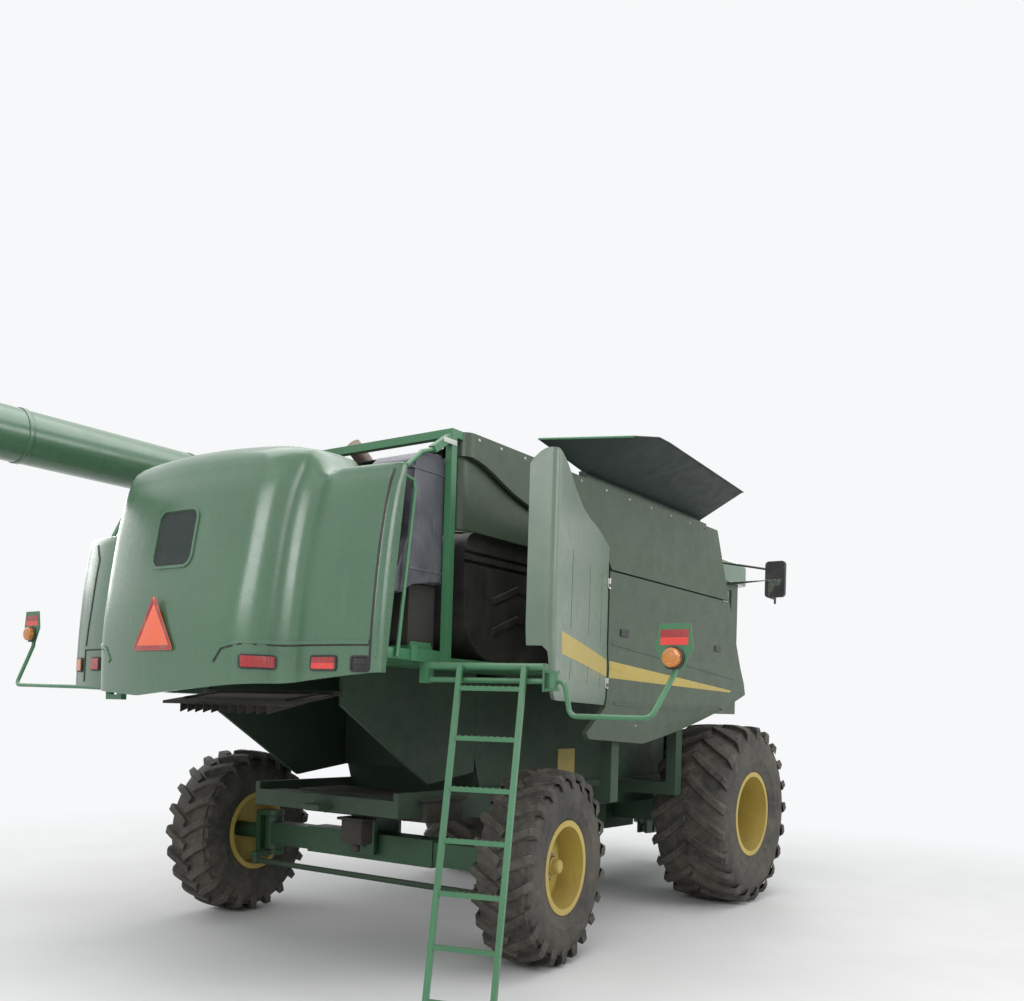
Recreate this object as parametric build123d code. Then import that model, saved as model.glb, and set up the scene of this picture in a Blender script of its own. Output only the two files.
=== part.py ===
from build123d import *
import math
import os

# Sizes in millimetres. X runs forward, Y to the machine's left and Z up. Stations are measured
# from the ground below the front axle; ORIGIN_X moves them to the middle of the whole outline.
ORIGIN_X = -2140
FIT = 0.3
PIN_FIT = 0.05

# Wheels
WHEELBASE = 3662
FRONT_TRACK = 3060
REAR_TRACK = 3300
KINGPIN_TRACK = 2500
PARKED_STEER = 6.9
FRONT_TYRE = dict(radius=915, width=775, rim=407, rim_half=343, flange=430, disc=45, hub=175)
REAR_TYRE = dict(radius=735, width=467, rim=331, rim_half=203, flange=354, disc=25, hub=125)
LUG_HEIGHT = 42
RIM_WALL = 24
FLANGE_WALL = 20
AXLE_Z_REAR = REAR_TYRE["radius"]
KINGPIN_R = 40
KNUCKLE_ARM = 230
STEER_LOCK = 25

# Body shell
SIDE_Y = 1650
PANEL_T = 45
BODY_TOP = 3780
SEAM_Z = 3105
SEAM_GAP = 15
SILL_Z = 1640
DECK_Z = 2240
DECK_T = 40
TANK_REAR = -3080
TANK_FRONT_TOP = -590
TANK_WALL = 40
TANK_HIP_Z = 2700
TANK_FLOOR_Z = 2150
FRONT_EDGE_TOP = -550
FRONT_LEAN = 0.5
HINGE_X = -2722
HINGE_Y = SIDE_Y + 10
HINGE_R = 12
SHIELD_HINGES = (2150, 2980)
SHIELD_REAR = -4735
SHIELD_SILL_Z = 1970
SHIELD_REST = 20
SHIELD_MAX = 65
POST_X = -4800
POST = 55
BAY_HALF = SIDE_Y - 90

# Rear hood
HOOD_FRONT = -4985
HOOD_HALF = 1600
HOOD_WALL = 35
HOOD_LOW = 1960
HOOD_CROWN = 3660

# Separator and chassis
BODY_HALF = 740
RAIL_T = 50
RAIL_BOTTOM = 1000
RAIL_TOP = 1250
RAIL_REAR = -WHEELBASE - 638
CROSS_SHEET = 45
OUTRIGGER_OUT = 1500
OUTRIGGER_POST = 100

# Feeder house and its lift
FEEDER_PIVOT = (560, 1500)
FEEDER_HALF = 690
FEEDER_PIN_R = 45
MOUTH_TOP = (2660, 1205)
MOUTH_LOW = (2440, 430)
FEEDER_DOWN = 10
FEEDER_UP = 16
LIFT_BASE = (180, 640)
LIFT_EYE = (1800, 640)
LIFT_Y = 560
LIFT_ROD_R = 40
LIFT_BARREL_R = 62
LIFT_BARREL = 1150
LIFT_PIN_R = 25
LIFT_EYE_BORE = 42
ROD_RATIO = 0.846
BARREL_RATIO = 0.75

# Cab and platform
CAB_REAR = 340
CAB_FRONT = 1990
CAB_HALF = 820
CAB_FLOOR = 1950
CAB_EAVES = 3560
CAB_POST = 80
CAB_SHEET = 45
DOOR_GAP = 6
DOOR_HINGES = (2300, 3150)
DOOR_AXIS_Y = CAB_HALF + HINGE_R + 1
PLATFORM_Z = 1930
PLATFORM_OUT = 1900
ENTRY_HINGE = (1900, 1960)

# Hitch at the rear cross box: station and height of the plate's middle
HITCH = (RAIL_REAR - 85, 1100)
HITCH_T = 40
HITCH_BORE_R = 22

# Unloading auger
AUGER_PIVOT = (-420, 1985)
AUGER_R = 215
AUGER_Z = 3960
AUGER_TIP = -6880
AUGER_SWING = 100

# Tank flaps
FLAP_T = 14
FLAP_SPAN = 560
FLAP_LEAN = 40
FLAP_SIDE_FOLD = 135
FLAP_END_FOLD = 140
FLAP_LEFT_FOLD = 110
FLAP_LEFT_LEAN = 66.6
FLAP_LEFT_SPAN = 366
FLAP_TUBE_R = 9


def block(x, y, z):
    """A box between pairs of limits."""
    middle = Pos((x[0] + x[1]) / 2, (y[0] + y[1]) / 2, (z[0] + z[1]) / 2)
    return middle * Box(abs(x[1] - x[0]), abs(y[1] - y[0]), abs(z[1] - z[0]))


def face_of(plane, points):
    """A closed outline of straight runs on a plane."""
    return make_face(plane * Polyline(*points, close=True))


def side_plane(y):
    """Local x runs forward and local y up."""
    return Plane(origin=(0, y, 0), x_dir=(1, 0, 0), z_dir=(0, -1, 0))


def cross_plane(x):
    """Local x runs left and local y up."""
    return Plane(origin=(x, 0, 0), x_dir=(0, 1, 0), z_dir=(1, 0, 0))


def prism_y(points, y0, y1):
    """An outline of (x, z) points carried across the machine."""
    return extrude(face_of(side_plane(y0), points), amount=y1 - y0, dir=(0, 1, 0))


def prism_x(points, x0, x1):
    """An outline of (y, z) points carried along the machine."""
    return extrude(face_of(cross_plane(x0), points), amount=x1 - x0, dir=(1, 0, 0))


def prism_z(points, z0, z1):
    """An outline of (x, y) points carried upward."""
    return extrude(face_of(Plane.XY.offset(z0), points), amount=z1 - z0, dir=(0, 0, 1))


def bar(start, end, radius):
    """A round bar between two points."""
    run = Vector(*end) - Vector(*start)
    low = (Align.CENTER, Align.CENTER, Align.MIN)
    return Plane(origin=start, z_dir=run) * Cylinder(radius, run.length, align=low)


def square_bar(start, end, side, up=(0, 0, 1)):
    """A square bar between two points."""
    run = Vector(*end) - Vector(*start)
    across = run.cross(Vector(*up))
    low = (Align.CENTER, Align.CENTER, Align.MIN)
    return Plane(origin=start, x_dir=across, z_dir=run) * Box(side, side, run.length, align=low)


def bent_bar(points, bend, radius):
    """A round bar with an arc of one radius at each corner."""
    path = FilletPolyline(*points, radius=bend)
    return sweep(Plane(origin=path @ 0, z_dir=path % 0) * Circle(radius), path=path)


def hinge_leaf(x, y, z, reach, inward):
    """A hinge knuckle with the tab that holds it: reach runs along X and inward along Y."""
    knuckle_half = 15 - FIT / 2
    span = (z - knuckle_half, z + knuckle_half)
    tab = block((min(x, x + reach), max(x, x + reach)), (min(y, y + inward), max(y, y + inward)), span)
    return Pos(x, y, z) * Cylinder(HINGE_R, 2 * knuckle_half) + tab


def mirror_left(solid):
    """The other side's copy of a right-hand piece."""
    return mirror(solid, about=Plane.XZ)


def both(solid):
    """A right-hand piece and its copy on the left."""
    return Compound([solid, mirror_left(solid)])


def turned(solid, axis_x, axis_y, degrees):
    """A piece turned about a vertical line."""
    return Pos(axis_x, axis_y, 0) * Rot(0, 0, degrees) * Pos(-axis_x, -axis_y, 0) * solid


def spun(points):
    """A ring about the wheel's axle from (across, radius) points, where across grows outward."""
    outline = face_of(Plane(origin=(0, 0, 0), x_dir=(0, 1, 0), z_dir=(1, 0, 0)), points)
    return revolve(outline, Axis.Y)


# Wheels

def tyre(size):
    """The casing, from its beads to the lugs' tips."""
    half = size["width"] / 2
    seat = size["rim_half"] - FLANGE_WALL - FIT
    bead = size["flange"] + FIT
    top = size["radius"]
    tall = top - bead
    base = size["rim"] + FIT
    run = [(seat, base), (seat, bead), (seat + 22, bead), (half - 12, bead + 0.28 * tall), (half, bead + 0.46 * tall)]
    run += [(half - 8, bead + 0.64 * tall), (half - 30, bead + 0.8 * tall), (half * 0.72, top - 26), (half * 0.4, top - 7)]
    run += [(half * 0.12, top)]
    return spun([(-y, r) for y, r in run] + [(y, r) for y, r in reversed(run)])


def rim(size):
    """The barrel with its flanges, the dished disc and the hub plate."""
    edge = size["rim_half"]
    seat = size["rim"]
    inner = seat - RIM_WALL
    disc = size["disc"]
    hub = size["hub"]
    barrel = [(-edge, size["flange"]), (-edge, inner), (edge, inner), (edge, size["flange"])]
    barrel += [(edge - FLANGE_WALL, size["flange"]), (edge - FLANGE_WALL, seat)]
    barrel += [(FLANGE_WALL - edge, seat), (FLANGE_WALL - edge, size["flange"])]
    dish = [(disc, 0), (disc + 22, 0), (disc + 22, hub), (disc - 28, inner + 2), (disc - 50, inner + 2)]
    dish += [(disc, hub)]
    cap = [(disc, 0), (disc + 60, 0), (disc + 60, hub * 0.42), (disc, hub * 0.5)]
    return spun(barrel) + spun(dish) + spun(cap)


def wheel_place(name):
    """The wheel's middle and its turn about the vertical."""
    side = -1 if name.endswith("right") else 1
    if name.startswith("front"):
        return Pos(0, side * FRONT_TRACK / 2, FRONT_TYRE["radius"]) * Rot(0, 0, 0 if side > 0 else 180)
    reach = (REAR_TRACK - KINGPIN_TRACK) / 2
    pin = Pos(-WHEELBASE, side * KINGPIN_TRACK / 2, AXLE_Z_REAR) * Rot(0, 0, PARKED_STEER)
    return pin * Pos(0, side * reach, 0) * Rot(0, 0, 0 if side > 0 else 180)


def wheels():
    parts = {}
    for end, size in (("front", FRONT_TYRE), ("rear", REAR_TYRE)):
        for side in ("right", "left"):
            place = wheel_place(f"{end}_{side}")
            parts[f"{end}_tyre_{side}"] = place * tyre(size)
            parts[f"{end}_rim_{side}"] = place * rim(size)
    return parts


# Chassis

def front_axle():
    """The gearbox, the cross tube and a final drive housing at each wheel."""
    z = FRONT_TYRE["radius"]
    across = Rot(90, 0, 0)
    seat = FRONT_TRACK / 2 + FRONT_TYRE["disc"] - FIT
    axle = block((-130, 130), (-900, 900), (z - 150, RAIL_BOTTOM - FIT))
    axle += block((-330, 300), (-330, 330), (z - 260, z + 60))
    for side in (-1, 1):
        axle += Pos(0, side * 990, z) * across * Cylinder(285, 260)
        axle += Pos(0, side * 990, z + 120) * across * Cylinder(230, 200)
        axle += Pos(0, side * (1110 + seat) / 2, z) * across * Cylinder(FRONT_TYRE["hub"] - 15, seat - 1110)
        for ear in (LIFT_Y - 46, LIFT_Y + 46):
            lug = [(80, z - 150), (80, LIFT_BASE[1] - 45), (LIFT_BASE[0] + 40, LIFT_BASE[1] - 45)]
            lug += [(LIFT_BASE[0] + 40, LIFT_BASE[1] + 45), (130, z - 100)]
            axle += prism_y(lug, side * ear - 14, side * ear + 14)
        pin = Pos(LIFT_BASE[0], side * LIFT_Y, LIFT_BASE[1]) * across
        axle += pin * Cylinder(LIFT_PIN_R, 120)
    return axle


def rear_axle():
    """The steering axle's beam, its kingpin eyes and the pivot block at its middle."""
    x, z = -WHEELBASE, AXLE_Z_REAR
    end = KINGPIN_TRACK / 2
    beam = block((x - 95, x + 95), (-end + 60, end - 60), (z - 95, z + 95))
    beam += block((x - 110, x + 110), (-700, 700), (z - 110, z + 110))
    for side in (-1, 1):
        beam += Pos(x, side * end, z) * Cylinder(82, 300)
        beam -= Pos(x, side * end, z) * Cylinder(KINGPIN_R + PIN_FIT, 320)
    for side in (-1, 1):
        beam += block((x + side * 150 - 18, x + side * 150 + 18), (-130, 130), (z - 60, RAIL_BOTTOM - FIT))
    beam += Pos(x, 0, z + 40) * Rot(0, 90, 0) * Cylinder(45, 380)
    return beam


def knuckle(side):
    """The steering knuckle: two arms on the kingpin, the spindle and the tie rod's arm."""
    end = KINGPIN_TRACK / 2
    x, z = -WHEELBASE, AXLE_Z_REAR
    reach = (REAR_TRACK - KINGPIN_TRACK) / 2 + REAR_TYRE["disc"] - FIT
    fork = Cylinder(KINGPIN_R, 400)
    for level in (-177, 177):
        fork += Pos(0, 0, level) * Cylinder(85, 46)
        fork += block((-85, 85), (0, side * 140), (level - 23, level + 23))
    fork += block((-85, 85), (side * 92, side * 140), (-200, 200))
    fork += Pos(0, side * (140 + reach) / 2, 0) * Rot(90, 0, 0) * Cylinder(70, reach - 140)
    fork += block((-KNUCKLE_ARM - 40, 0), (-35, 35), (-200, -154))
    return Pos(x, side * end, z) * Rot(0, 0, PARKED_STEER) * fork


def tie_rod():
    """The rod between the two knuckle arms, just under them."""
    a = math.radians(PARKED_STEER)
    x = -WHEELBASE - KNUCKLE_ARM * math.cos(a)
    shift = -KNUCKLE_ARM * math.sin(a)
    half = KINGPIN_TRACK / 2
    z = AXLE_Z_REAR - 200 - FIT
    rod = bar((x, shift - half, z - 30), (x, shift + half, z - 30), 24)
    for side in (-1, 1):
        rod += Pos(x, shift + side * half, z - 30) * Cylinder(38, 60)
    return rod


def main_frame():
    """The side rails, their cross boxes, the feeder's hinge plates and the drawbar plate."""
    inner = BODY_HALF + FIT
    outer = inner + RAIL_T
    rear = RAIL_REAR
    run = [(rear, RAIL_BOTTOM + 60), (rear, RAIL_TOP), (420, RAIL_TOP), (420, RAIL_BOTTOM), (rear + 1100, RAIL_BOTTOM)]
    rail = prism_y(run, inner, outer)
    plate = [(250, RAIL_BOTTOM + 40), (250, 1760), (640, 1700), (700, 1400), (420, RAIL_BOTTOM)]
    rail += prism_y(plate, inner, outer)
    rail += block((360, 480), (inner, outer), (1600, CAB_FLOOR - FIT))
    x, z = FEEDER_PIVOT
    rail -= Pos(x, inner, z) * Rot(90, 0, 0) * Cylinder(FEEDER_PIN_R + PIN_FIT, 4 * RAIL_T)
    rails = rail + mirror_left(rail)
    sheet = (RAIL_BOTTOM, RAIL_BOTTOM + CROSS_SHEET)
    rails += block((-WHEELBASE - 238, -WHEELBASE + 222), (-outer, outer), sheet)
    rails += block((rear, rear + 200), (-outer, outer), (RAIL_BOTTOM + 60, RAIL_TOP - 60))
    x, z = HITCH
    rails += block((x - 75, rear), (-110, 110), (z - HITCH_T / 2, z + HITCH_T / 2))
    rails -= Pos(x, 0, z) * Cylinder(HITCH_BORE_R, HITCH_T + 2)
    return rails


def tank_outriggers():
    """The arms and posts beside the rails that carry the tank's outer feet."""
    inner = BODY_HALF + 2 * FIT + RAIL_T
    out = OUTRIGGER_OUT
    frame = block((-2330, -930), (out - OUTRIGGER_POST, out), (2080, TANK_FLOOR_Z - FIT))
    for post_x in (-2330, -1060):
        frame += block((post_x, post_x + 130), (inner, out), (RAIL_TOP - 120, RAIL_TOP))
        frame += block((post_x, post_x + 130), (out - OUTRIGGER_POST, out), (RAIL_TOP, 2080))
    return both(frame)


def separator_body():
    """The threshing and cleaning body between the rails."""
    outline = [(200, TANK_FLOOR_Z - FIT), (200, 1250), (20, 1090), (-900, 1040), (-3150, 1046)]
    outline += [(-3300, 1500), (-3300, TANK_FLOOR_Z - FIT)]
    return prism_y(outline, -BODY_HALF, BODY_HALF)


def discharge_chute():
    """The flared side sheets and roof behind the separator, open below and behind."""
    sheet = [(-3301, 1380), (-3301, 2190), (-4880, 2190), (-4880, 1900), (-4200, 1480), (-3900, 1300)]
    wall = prism_y(sheet, BODY_HALF - 30, BODY_HALF)
    chute = wall + mirror_left(wall)
    chute += block((-4880, -3301), (-BODY_HALF, BODY_HALF), (2160, DECK_Z - DECK_T - FIT))
    chute += block((-3331, -3301), (-BODY_HALF, BODY_HALF), (1380, 2190))
    return chute


def chopper_tailboard():
    """The sloping board under the hood with its fanned vanes."""
    half = 960
    top, low = 1880, 1760
    x0, x1 = -4900 - FIT, -5620
    board = prism_y([(x0, top), (x0, top + 30), (x1, low + 30), (x1, low)], -half, half)
    board += block((x0 - 10, x0 + 20), (-half, half), (top + 10, top + 120))
    for step in range(-5, 6):
        y = step * 160
        lean = step * 3.6
        vane = prism_y([(x0 - 60, top - 8), (x1 + 40, low + 2), (x1 + 40, low - 78), (x0 - 200, top - 60)], -5, 5)
        board += Pos(0, y, 0) * turned(vane, x0, 0, lean)
    return board


# Grain tank and side panels

def front_edge(z):
    """The station of the panels' leaning front edge at a height."""
    return FRONT_EDGE_TOP + FRONT_LEAN * (BODY_TOP - z)


def tank_shape(inset, half):
    """The hopper's outside, or its inside at a wall's inset."""
    t = inset
    lean = TANK_FRONT_TOP + FRONT_LEAN * (BODY_TOP - TANK_HIP_Z)
    side = [(TANK_REAR + t, BODY_TOP + t), (TANK_FRONT_TOP - t, BODY_TOP + t), (lean - t, TANK_HIP_Z)]
    side += [(-300 - t, TANK_FLOOR_Z + t), (TANK_REAR + 150 + t, TANK_FLOOR_Z + t)]
    side += [(TANK_REAR + t, TANK_HIP_Z)]
    end = [(-half + t, BODY_TOP + t), (-half + t, TANK_HIP_Z - 0.4 * t), (-700 + t, TANK_FLOOR_Z + t)]
    end += [(700 - t, TANK_FLOOR_Z + t), (half - t, TANK_HIP_Z - 0.4 * t), (half - t, BODY_TOP + t)]
    return prism_y(side, -half, half) & prism_x(end, TANK_REAR, 0)


def grain_tank():
    """The open hopper with its ledge, carried on the rails' outriggers."""
    half = SIDE_Y - PANEL_T - FIT
    tank = tank_shape(0, half) - tank_shape(TANK_WALL, half)
    for side in (-1, 1):
        tank -= block((TANK_REAR - 1, HINGE_X + 40), (side * (half - 8), side * half), (2000, SEAM_Z - 2))
        foot = block((-2330, -930), (side * 1400, side * 1500), (TANK_FLOOR_Z, TANK_HIP_Z))
        tank += foot - tank_shape(TANK_WALL, half)
    return tank


def shield_top(gap):
    """The S of the shield's top edge from the hinge to its rear corner."""
    low, high = SEAM_Z - gap, 3635 - gap
    run = [Line((HINGE_X, low), (-3480, low + 20))]
    run += [ThreePointArc((-3480, low + 20), (-3720, low + 105), (-3900, 3370 - gap))]
    run += [ThreePointArc((-3900, 3370 - gap), (-4090, high - 60), (-4360, high))]
    run += [Line((-4360, high), (SHIELD_REAR, 3520 - gap))]
    return run


def upper_panels():
    """The top side panel, over the shield's S and the seam."""
    run = shield_top(0)
    run += [Line((SHIELD_REAR, 3520), (POST_X, 3520)), Line((POST_X, 3520), (POST_X, BODY_TOP))]
    run += [Line((POST_X, BODY_TOP), (FRONT_EDGE_TOP, BODY_TOP))]
    corner = (front_edge(SEAM_Z), SEAM_Z)
    run += [Line((FRONT_EDGE_TOP, BODY_TOP), corner), Line(corner, (HINGE_X, SEAM_Z))]
    panel = extrude(make_face(side_plane(-SIDE_Y) * Wire(run)), amount=PANEL_T, dir=(0, 1, 0))
    return both(panel)


def panel_skin(x0, x1, top):
    """The lower panels' section: upright above, swelling a little, then tucked in at the sill."""
    t = PANEL_T
    outer = [(-SIDE_Y, top), (-SIDE_Y, 2430), (-SIDE_Y - 10, 2270), (-SIDE_Y + 3, 2020)]
    outer += [(-SIDE_Y + 75, SILL_Z)]
    inner = [(-SIDE_Y + 75 + t, SILL_Z), (-SIDE_Y + 3 + t, 2020), (-SIDE_Y - 10 + t, 2270)]
    inner += [(-SIDE_Y + t, 2430), (-SIDE_Y + t, top)]
    return prism_x(outer + inner, x0, x1)


def side_outline(run):
    """A side view carried through the right panels' depth."""
    return extrude(make_face(side_plane(-SIDE_Y - 100) * Wire(run)), amount=300, dir=(0, 1, 0))


def lower_panels():
    """The big side panel over the front wheel, with the wheel's arch in its lower edge."""
    top = SEAM_Z - SEAM_GAP
    front = (front_edge(2150), 2150)
    tail = [(-1900, SILL_Z), (-2860, SILL_Z + 45), (-2925, SILL_Z + 95), (-2700, 1945), (-2700, top)]
    run = [Line((-2700, top), (front_edge(top), top)), Line((front_edge(top), top), front)]
    run += [ThreePointArc(front, (-970, 1815), tail[0])]
    run += [Line(a, b) for a, b in zip(tail, tail[1:])]
    panel = panel_skin(-2960, 300, SEAM_Z) & side_outline(run)
    for z in SHIELD_HINGES:
        panel += hinge_leaf(HINGE_X, -HINGE_Y, z - 15, 36, 22)
    return both(panel)


def shield(side):
    """The rear side shield, built closed and turned to where it rests."""
    front = HINGE_X - 20
    rear = SHIELD_REAR
    top = SEAM_Z - SEAM_GAP
    low = SHIELD_SILL_Z
    run = shield_top(SEAM_GAP)
    run += [Line((rear, 3520 - SEAM_GAP), (rear, low + 160))]
    run += [ThreePointArc((rear, low + 160), (rear + 47, low + 47), (rear + 160, low))]
    run += [Line((rear + 160, low), (front, low)), Line((front, low), (front, top - 1))]
    run += [Line((front, top - 1), (HINGE_X, top))]
    door = panel_skin(rear - 10, HINGE_X, BODY_TOP) & side_outline(run)
    door -= block((front, HINGE_X + 20), (-SIDE_Y - 20, -SIDE_Y + 60), (low - 10, SEAM_Z + 40))
    for z in SHIELD_HINGES:
        door += hinge_leaf(HINGE_X, -HINGE_Y, z + 15, -36, 22)
    if side > 0:
        return mirror_left(door)
    return turned(door, HINGE_X, -HINGE_Y, SHIELD_REST)


# Engine bay and hood

def engine_bay():
    """The deck behind the tank, its posts and rails and the hood's hangers."""
    bay = block((POST_X, TANK_REAR - FIT), (-BAY_HALF, BAY_HALF), (DECK_Z - DECK_T, DECK_Z))
    inner = SIDE_Y - PANEL_T - FIT
    post = block((POST_X, POST_X + POST), (-inner, POST - inner), (DECK_Z - DECK_T, BODY_TOP))
    post += block((POST_X, TANK_REAR - FIT), (-inner, POST - inner), (BODY_TOP - POST, BODY_TOP))
    post += square_bar((POST_X, POST / 2 - inner, BODY_TOP - 60), (HOOD_FRONT + 15, POST / 2 - inner, 3600), 50)
    hang = HOOD_HALF - 40
    post += block((HOOD_FRONT - 90, POST_X + 10), (-hang, 60 - hang), (DECK_Z - DECK_T, DECK_Z + 40))
    bay += post + mirror_left(post)
    bay += block((POST_X, POST_X + POST), (-inner, inner), (BODY_TOP - POST, BODY_TOP))
    hanger = block((HOOD_FRONT - 130, HOOD_FRONT - 70), (-HOOD_HALF, HOOD_HALF), (DECK_Z - DECK_T, DECK_Z + 60))
    bay += hanger & hood_shape(HOOD_WALL + FIT)
    x, y = LEFT_CLAMP
    bay += block((x - 25, x + 25), (hang - 60, hang), (LEFT_ARM_Z - 90, DECK_Z - DECK_T))
    return bay + block((x - 25, x + 25), (hang - 60, y + 20), (LEFT_ARM_Z - 90, LEFT_ARM_Z - 49 - FIT))


def engine():
    """The engine as one plain block on its mounts."""
    return block((-4400, -3200), (-820, 560), (DECK_Z + 90, 3300)) + block(
        (-4300, -3300), (-700, 440), (DECK_Z + FIT, DECK_Z + 100))


SCREEN_X = -3720
SCREEN_Y = 1395
SCREEN_Z = 2880
SCREEN_R = 500


def cooling_box():
    """The radiator's housing on the left with the round opening of its screen."""
    x0, x1 = SCREEN_X - 590, SCREEN_X + 590
    box = block((x0, x1), (880, 1470), (DECK_Z + FIT, 3480))
    box -= Pos(SCREEN_X, 1400, SCREEN_Z) * Rot(90, 0, 0) * Cylinder(SCREEN_R + 10, 200)
    return box


def rotary_screen():
    """The round air screen with its hub and wipers' rim."""
    disc = Pos(SCREEN_X, SCREEN_Y, SCREEN_Z) * Rot(90, 0, 0) * Cylinder(SCREEN_R, 110)
    disc += Pos(SCREEN_X, SCREEN_Y + 75, SCREEN_Z) * Rot(90, 0, 0) * Cylinder(90, 60)
    return disc + Pos(SCREEN_X, (SCREEN_Y + 1300) / 2 + FIT, SCREEN_Z) * Rot(90, 0, 0) * Cylinder(45, SCREEN_Y - 1300)


def fuel_tank():
    """The moulded tank behind the right shield: a rounded side view with grooves and ribs."""
    rear, front, top, low = -4540, -3320, 3140, DECK_Z + FIT
    run = [Line((front, low), (front, top - 90)), ThreePointArc((front, top - 90), (front - 26, top - 26), (front - 90, top))]
    run += [Line((front - 90, top), (rear + 120, top))]
    run += [ThreePointArc((rear + 120, top), (rear + 35, top - 35), (rear, top - 120))]
    run += [Line((rear, top - 120), (rear, low + 320))]
    run += [ThreePointArc((rear, low + 320), (rear + 110, low + 110), (rear + 330, low)), Line((rear + 330, low), (front, low))]
    tank = extrude(make_face(side_plane(-1545) * Wire(run)), amount=560, dir=(0, 1, 0))
    for groove in (top - 150, top - 215):
        tank -= block((rear - 1, front + 1), (-1546, -1527), (groove - 14, groove + 14))
    for z in (2480, 2700):
        rib = [(rear + 330, z), (rear + 640, z + 120), (front - 130, z + 40), (front - 130, z), (rear + 650, z + 75), (rear + 345, z - 40)]
        tank += prism_y(rib, -1557, -1544)
    return tank


def air_duct():
    """The rounded black duct between the fuel tank and the hood."""
    duct = block((-4965, -4812), (-1590, -1170), (2720, 3560))
    duct = fillet(duct.edges().filter_by(Axis.Y), 40)
    return duct + block((-4925, POST_X + 10), (-1500, -1300), (DECK_Z + FIT, 2730))


def exhaust_stack():
    """The upright pipe beside the engine with its curved outlet."""
    x, y = -3560, 330
    pipe = bent_bar([(x, y, 3300 + FIT), (x, y, 4020), (x - 190, y, 4150)], 100, 70)
    return pipe + Pos(x, y, 3560) * Cylinder(130, 420)


def hood_section(z, centre, corner, valley, valley_y, half, inset):
    """One level of the hood's plan: flat sides, a wing, a valley and the rear bulge."""
    t = inset
    s = half - t
    xk, xv, xc = corner + t, valley + t, centre + t
    wing_y = (valley_y + s) / 2
    flank_y = valley_y - 150
    xf = xc + 95
    front = HOOD_FRONT + (60 if t else 0)
    right = [Line((front, -s, z), (xk + 110, -s, z))]
    right += [ThreePointArc((xk + 110, -s, z), (xk + 32, -s + 32, z), (xk, -s + 110, z))]
    right += [ThreePointArc((xk, -s + 110, z), (xk - 52, -wing_y, z), (xv, -valley_y, z))]
    right += [Line((xv, -valley_y, z), (xf, -flank_y, z))]
    left = [Line((xf, flank_y, z), (xv, valley_y, z))]
    left += [ThreePointArc((xv, valley_y, z), (xk - 52, wing_y, z), (xk, s - 110, z))]
    left += [ThreePointArc((xk, s - 110, z), (xk + 32, s - 32, z), (xk + 110, s, z))]
    left += [Line((xk + 110, s, z), (front, s, z))]
    arc = [ThreePointArc((xf, -flank_y, z), (xc, 0, z), (xf, flank_y, z))]
    return Face(Wire(right + arc + left + [Line((front, s, z), (front, -s, z))]))


def hood_shape(inset):
    """The hood's skin, or the space inside it at a wall's inset."""
    # Columns: height, then from the hood's front the rear of the bulge, corner and valley, the valley's
    # distance from the middle, half width
    levels = ((HOOD_LOW, -920, -345, -495, 1010, HOOD_HALF), (HOOD_LOW + 420, -915, -410, -505, 980, HOOD_HALF),
              (HOOD_LOW + 1040, -815, -400, -435, 930, HOOD_HALF))
    levels += ((HOOD_CROWN - 260, -740, -325, -355, 890, HOOD_HALF - 25), (HOOD_CROWN, -575, -185, -205, 850, HOOD_HALF - 190))
    x = HOOD_FRONT
    sections = []
    for place, (z, centre, corner, valley, valley_y, half) in enumerate(levels):
        drop = -40 if inset and place == 0 else 0
        cap = -inset if place == len(levels) - 1 else 0
        sections.append(hood_section(z + drop + cap, x + centre, x + corner, x + valley, valley_y, half, inset))
    return loft(sections)


def rear_hood():
    """The hollow hood, open below and in front."""
    hood = hood_shape(0) - hood_shape(HOOD_WALL)
    hood -= block((HOOD_FRONT - 1, HOOD_FRONT + 61), (-HOOD_HALF + HOOD_WALL, HOOD_HALF - HOOD_WALL), (1900, 3380))
    return hood


def smv_triangle():
    """The slow vehicle sign on the bulge."""
    wide, tall, low = 406, 356, 2230
    back = HOOD_FRONT - 944
    sign = prism_x([(-wide / 2, low), (wide / 2, low), (20, low + tall), (-20, low + tall)], back - 6, back)
    stand = block((back, back + 80), (-60, 60), (low + 60, low + 160)) - Pos(-FIT, 0, 0) * hood_shape(0)
    return sign + stand


# Row of lamps on the hood's lower band: across, height, width, tall, slot
HOOD_LAMPS = ((-800, 2160, 110, 70, "red"), (-1235, 2160, 170, 75, "red"), (1200, 2170, 100, 90, "red"),
              (1470, 2160, 90, 90, "amber"))


def hood_lamps(slot):
    """Box lenses set into the hood's rear skin."""
    lens = []
    skin = hood_shape(0)
    for y, z, wide, tall, colour in HOOD_LAMPS:
        if colour == slot:
            column = block((HOOD_FRONT - 1100, HOOD_FRONT - 345), (y - wide / 2, y + wide / 2), (z - tall / 2, z + tall / 2))
            front = (Pos(-25, 0, 0) * skin) & column
            lens += (front - (Pos(-FIT, 0, 0) * skin)).solids()
    return lens


# Arms, ladder and lamps

ARM_Z = 1870
ARM_R = 17
RIGHT_CLAMP = (-4705, -2400)
LAMP_Y = 3150
LEFT_CLAMP = (-5100, HOOD_HALF + 90)
LEFT_ARM_Z = 1990


def lamp_head(x, y, z):
    """The paddle shield and the lamp's back plate."""
    shield_points = [(y - 105, z + 300), (y + 105, z + 300), (y + 125, z + 150), (y + 60, z + 20), (y - 60, z + 20)]
    shield_points += [(y - 125, z + 150)]
    return prism_x(shield_points, x - 4, x + 4)


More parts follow.
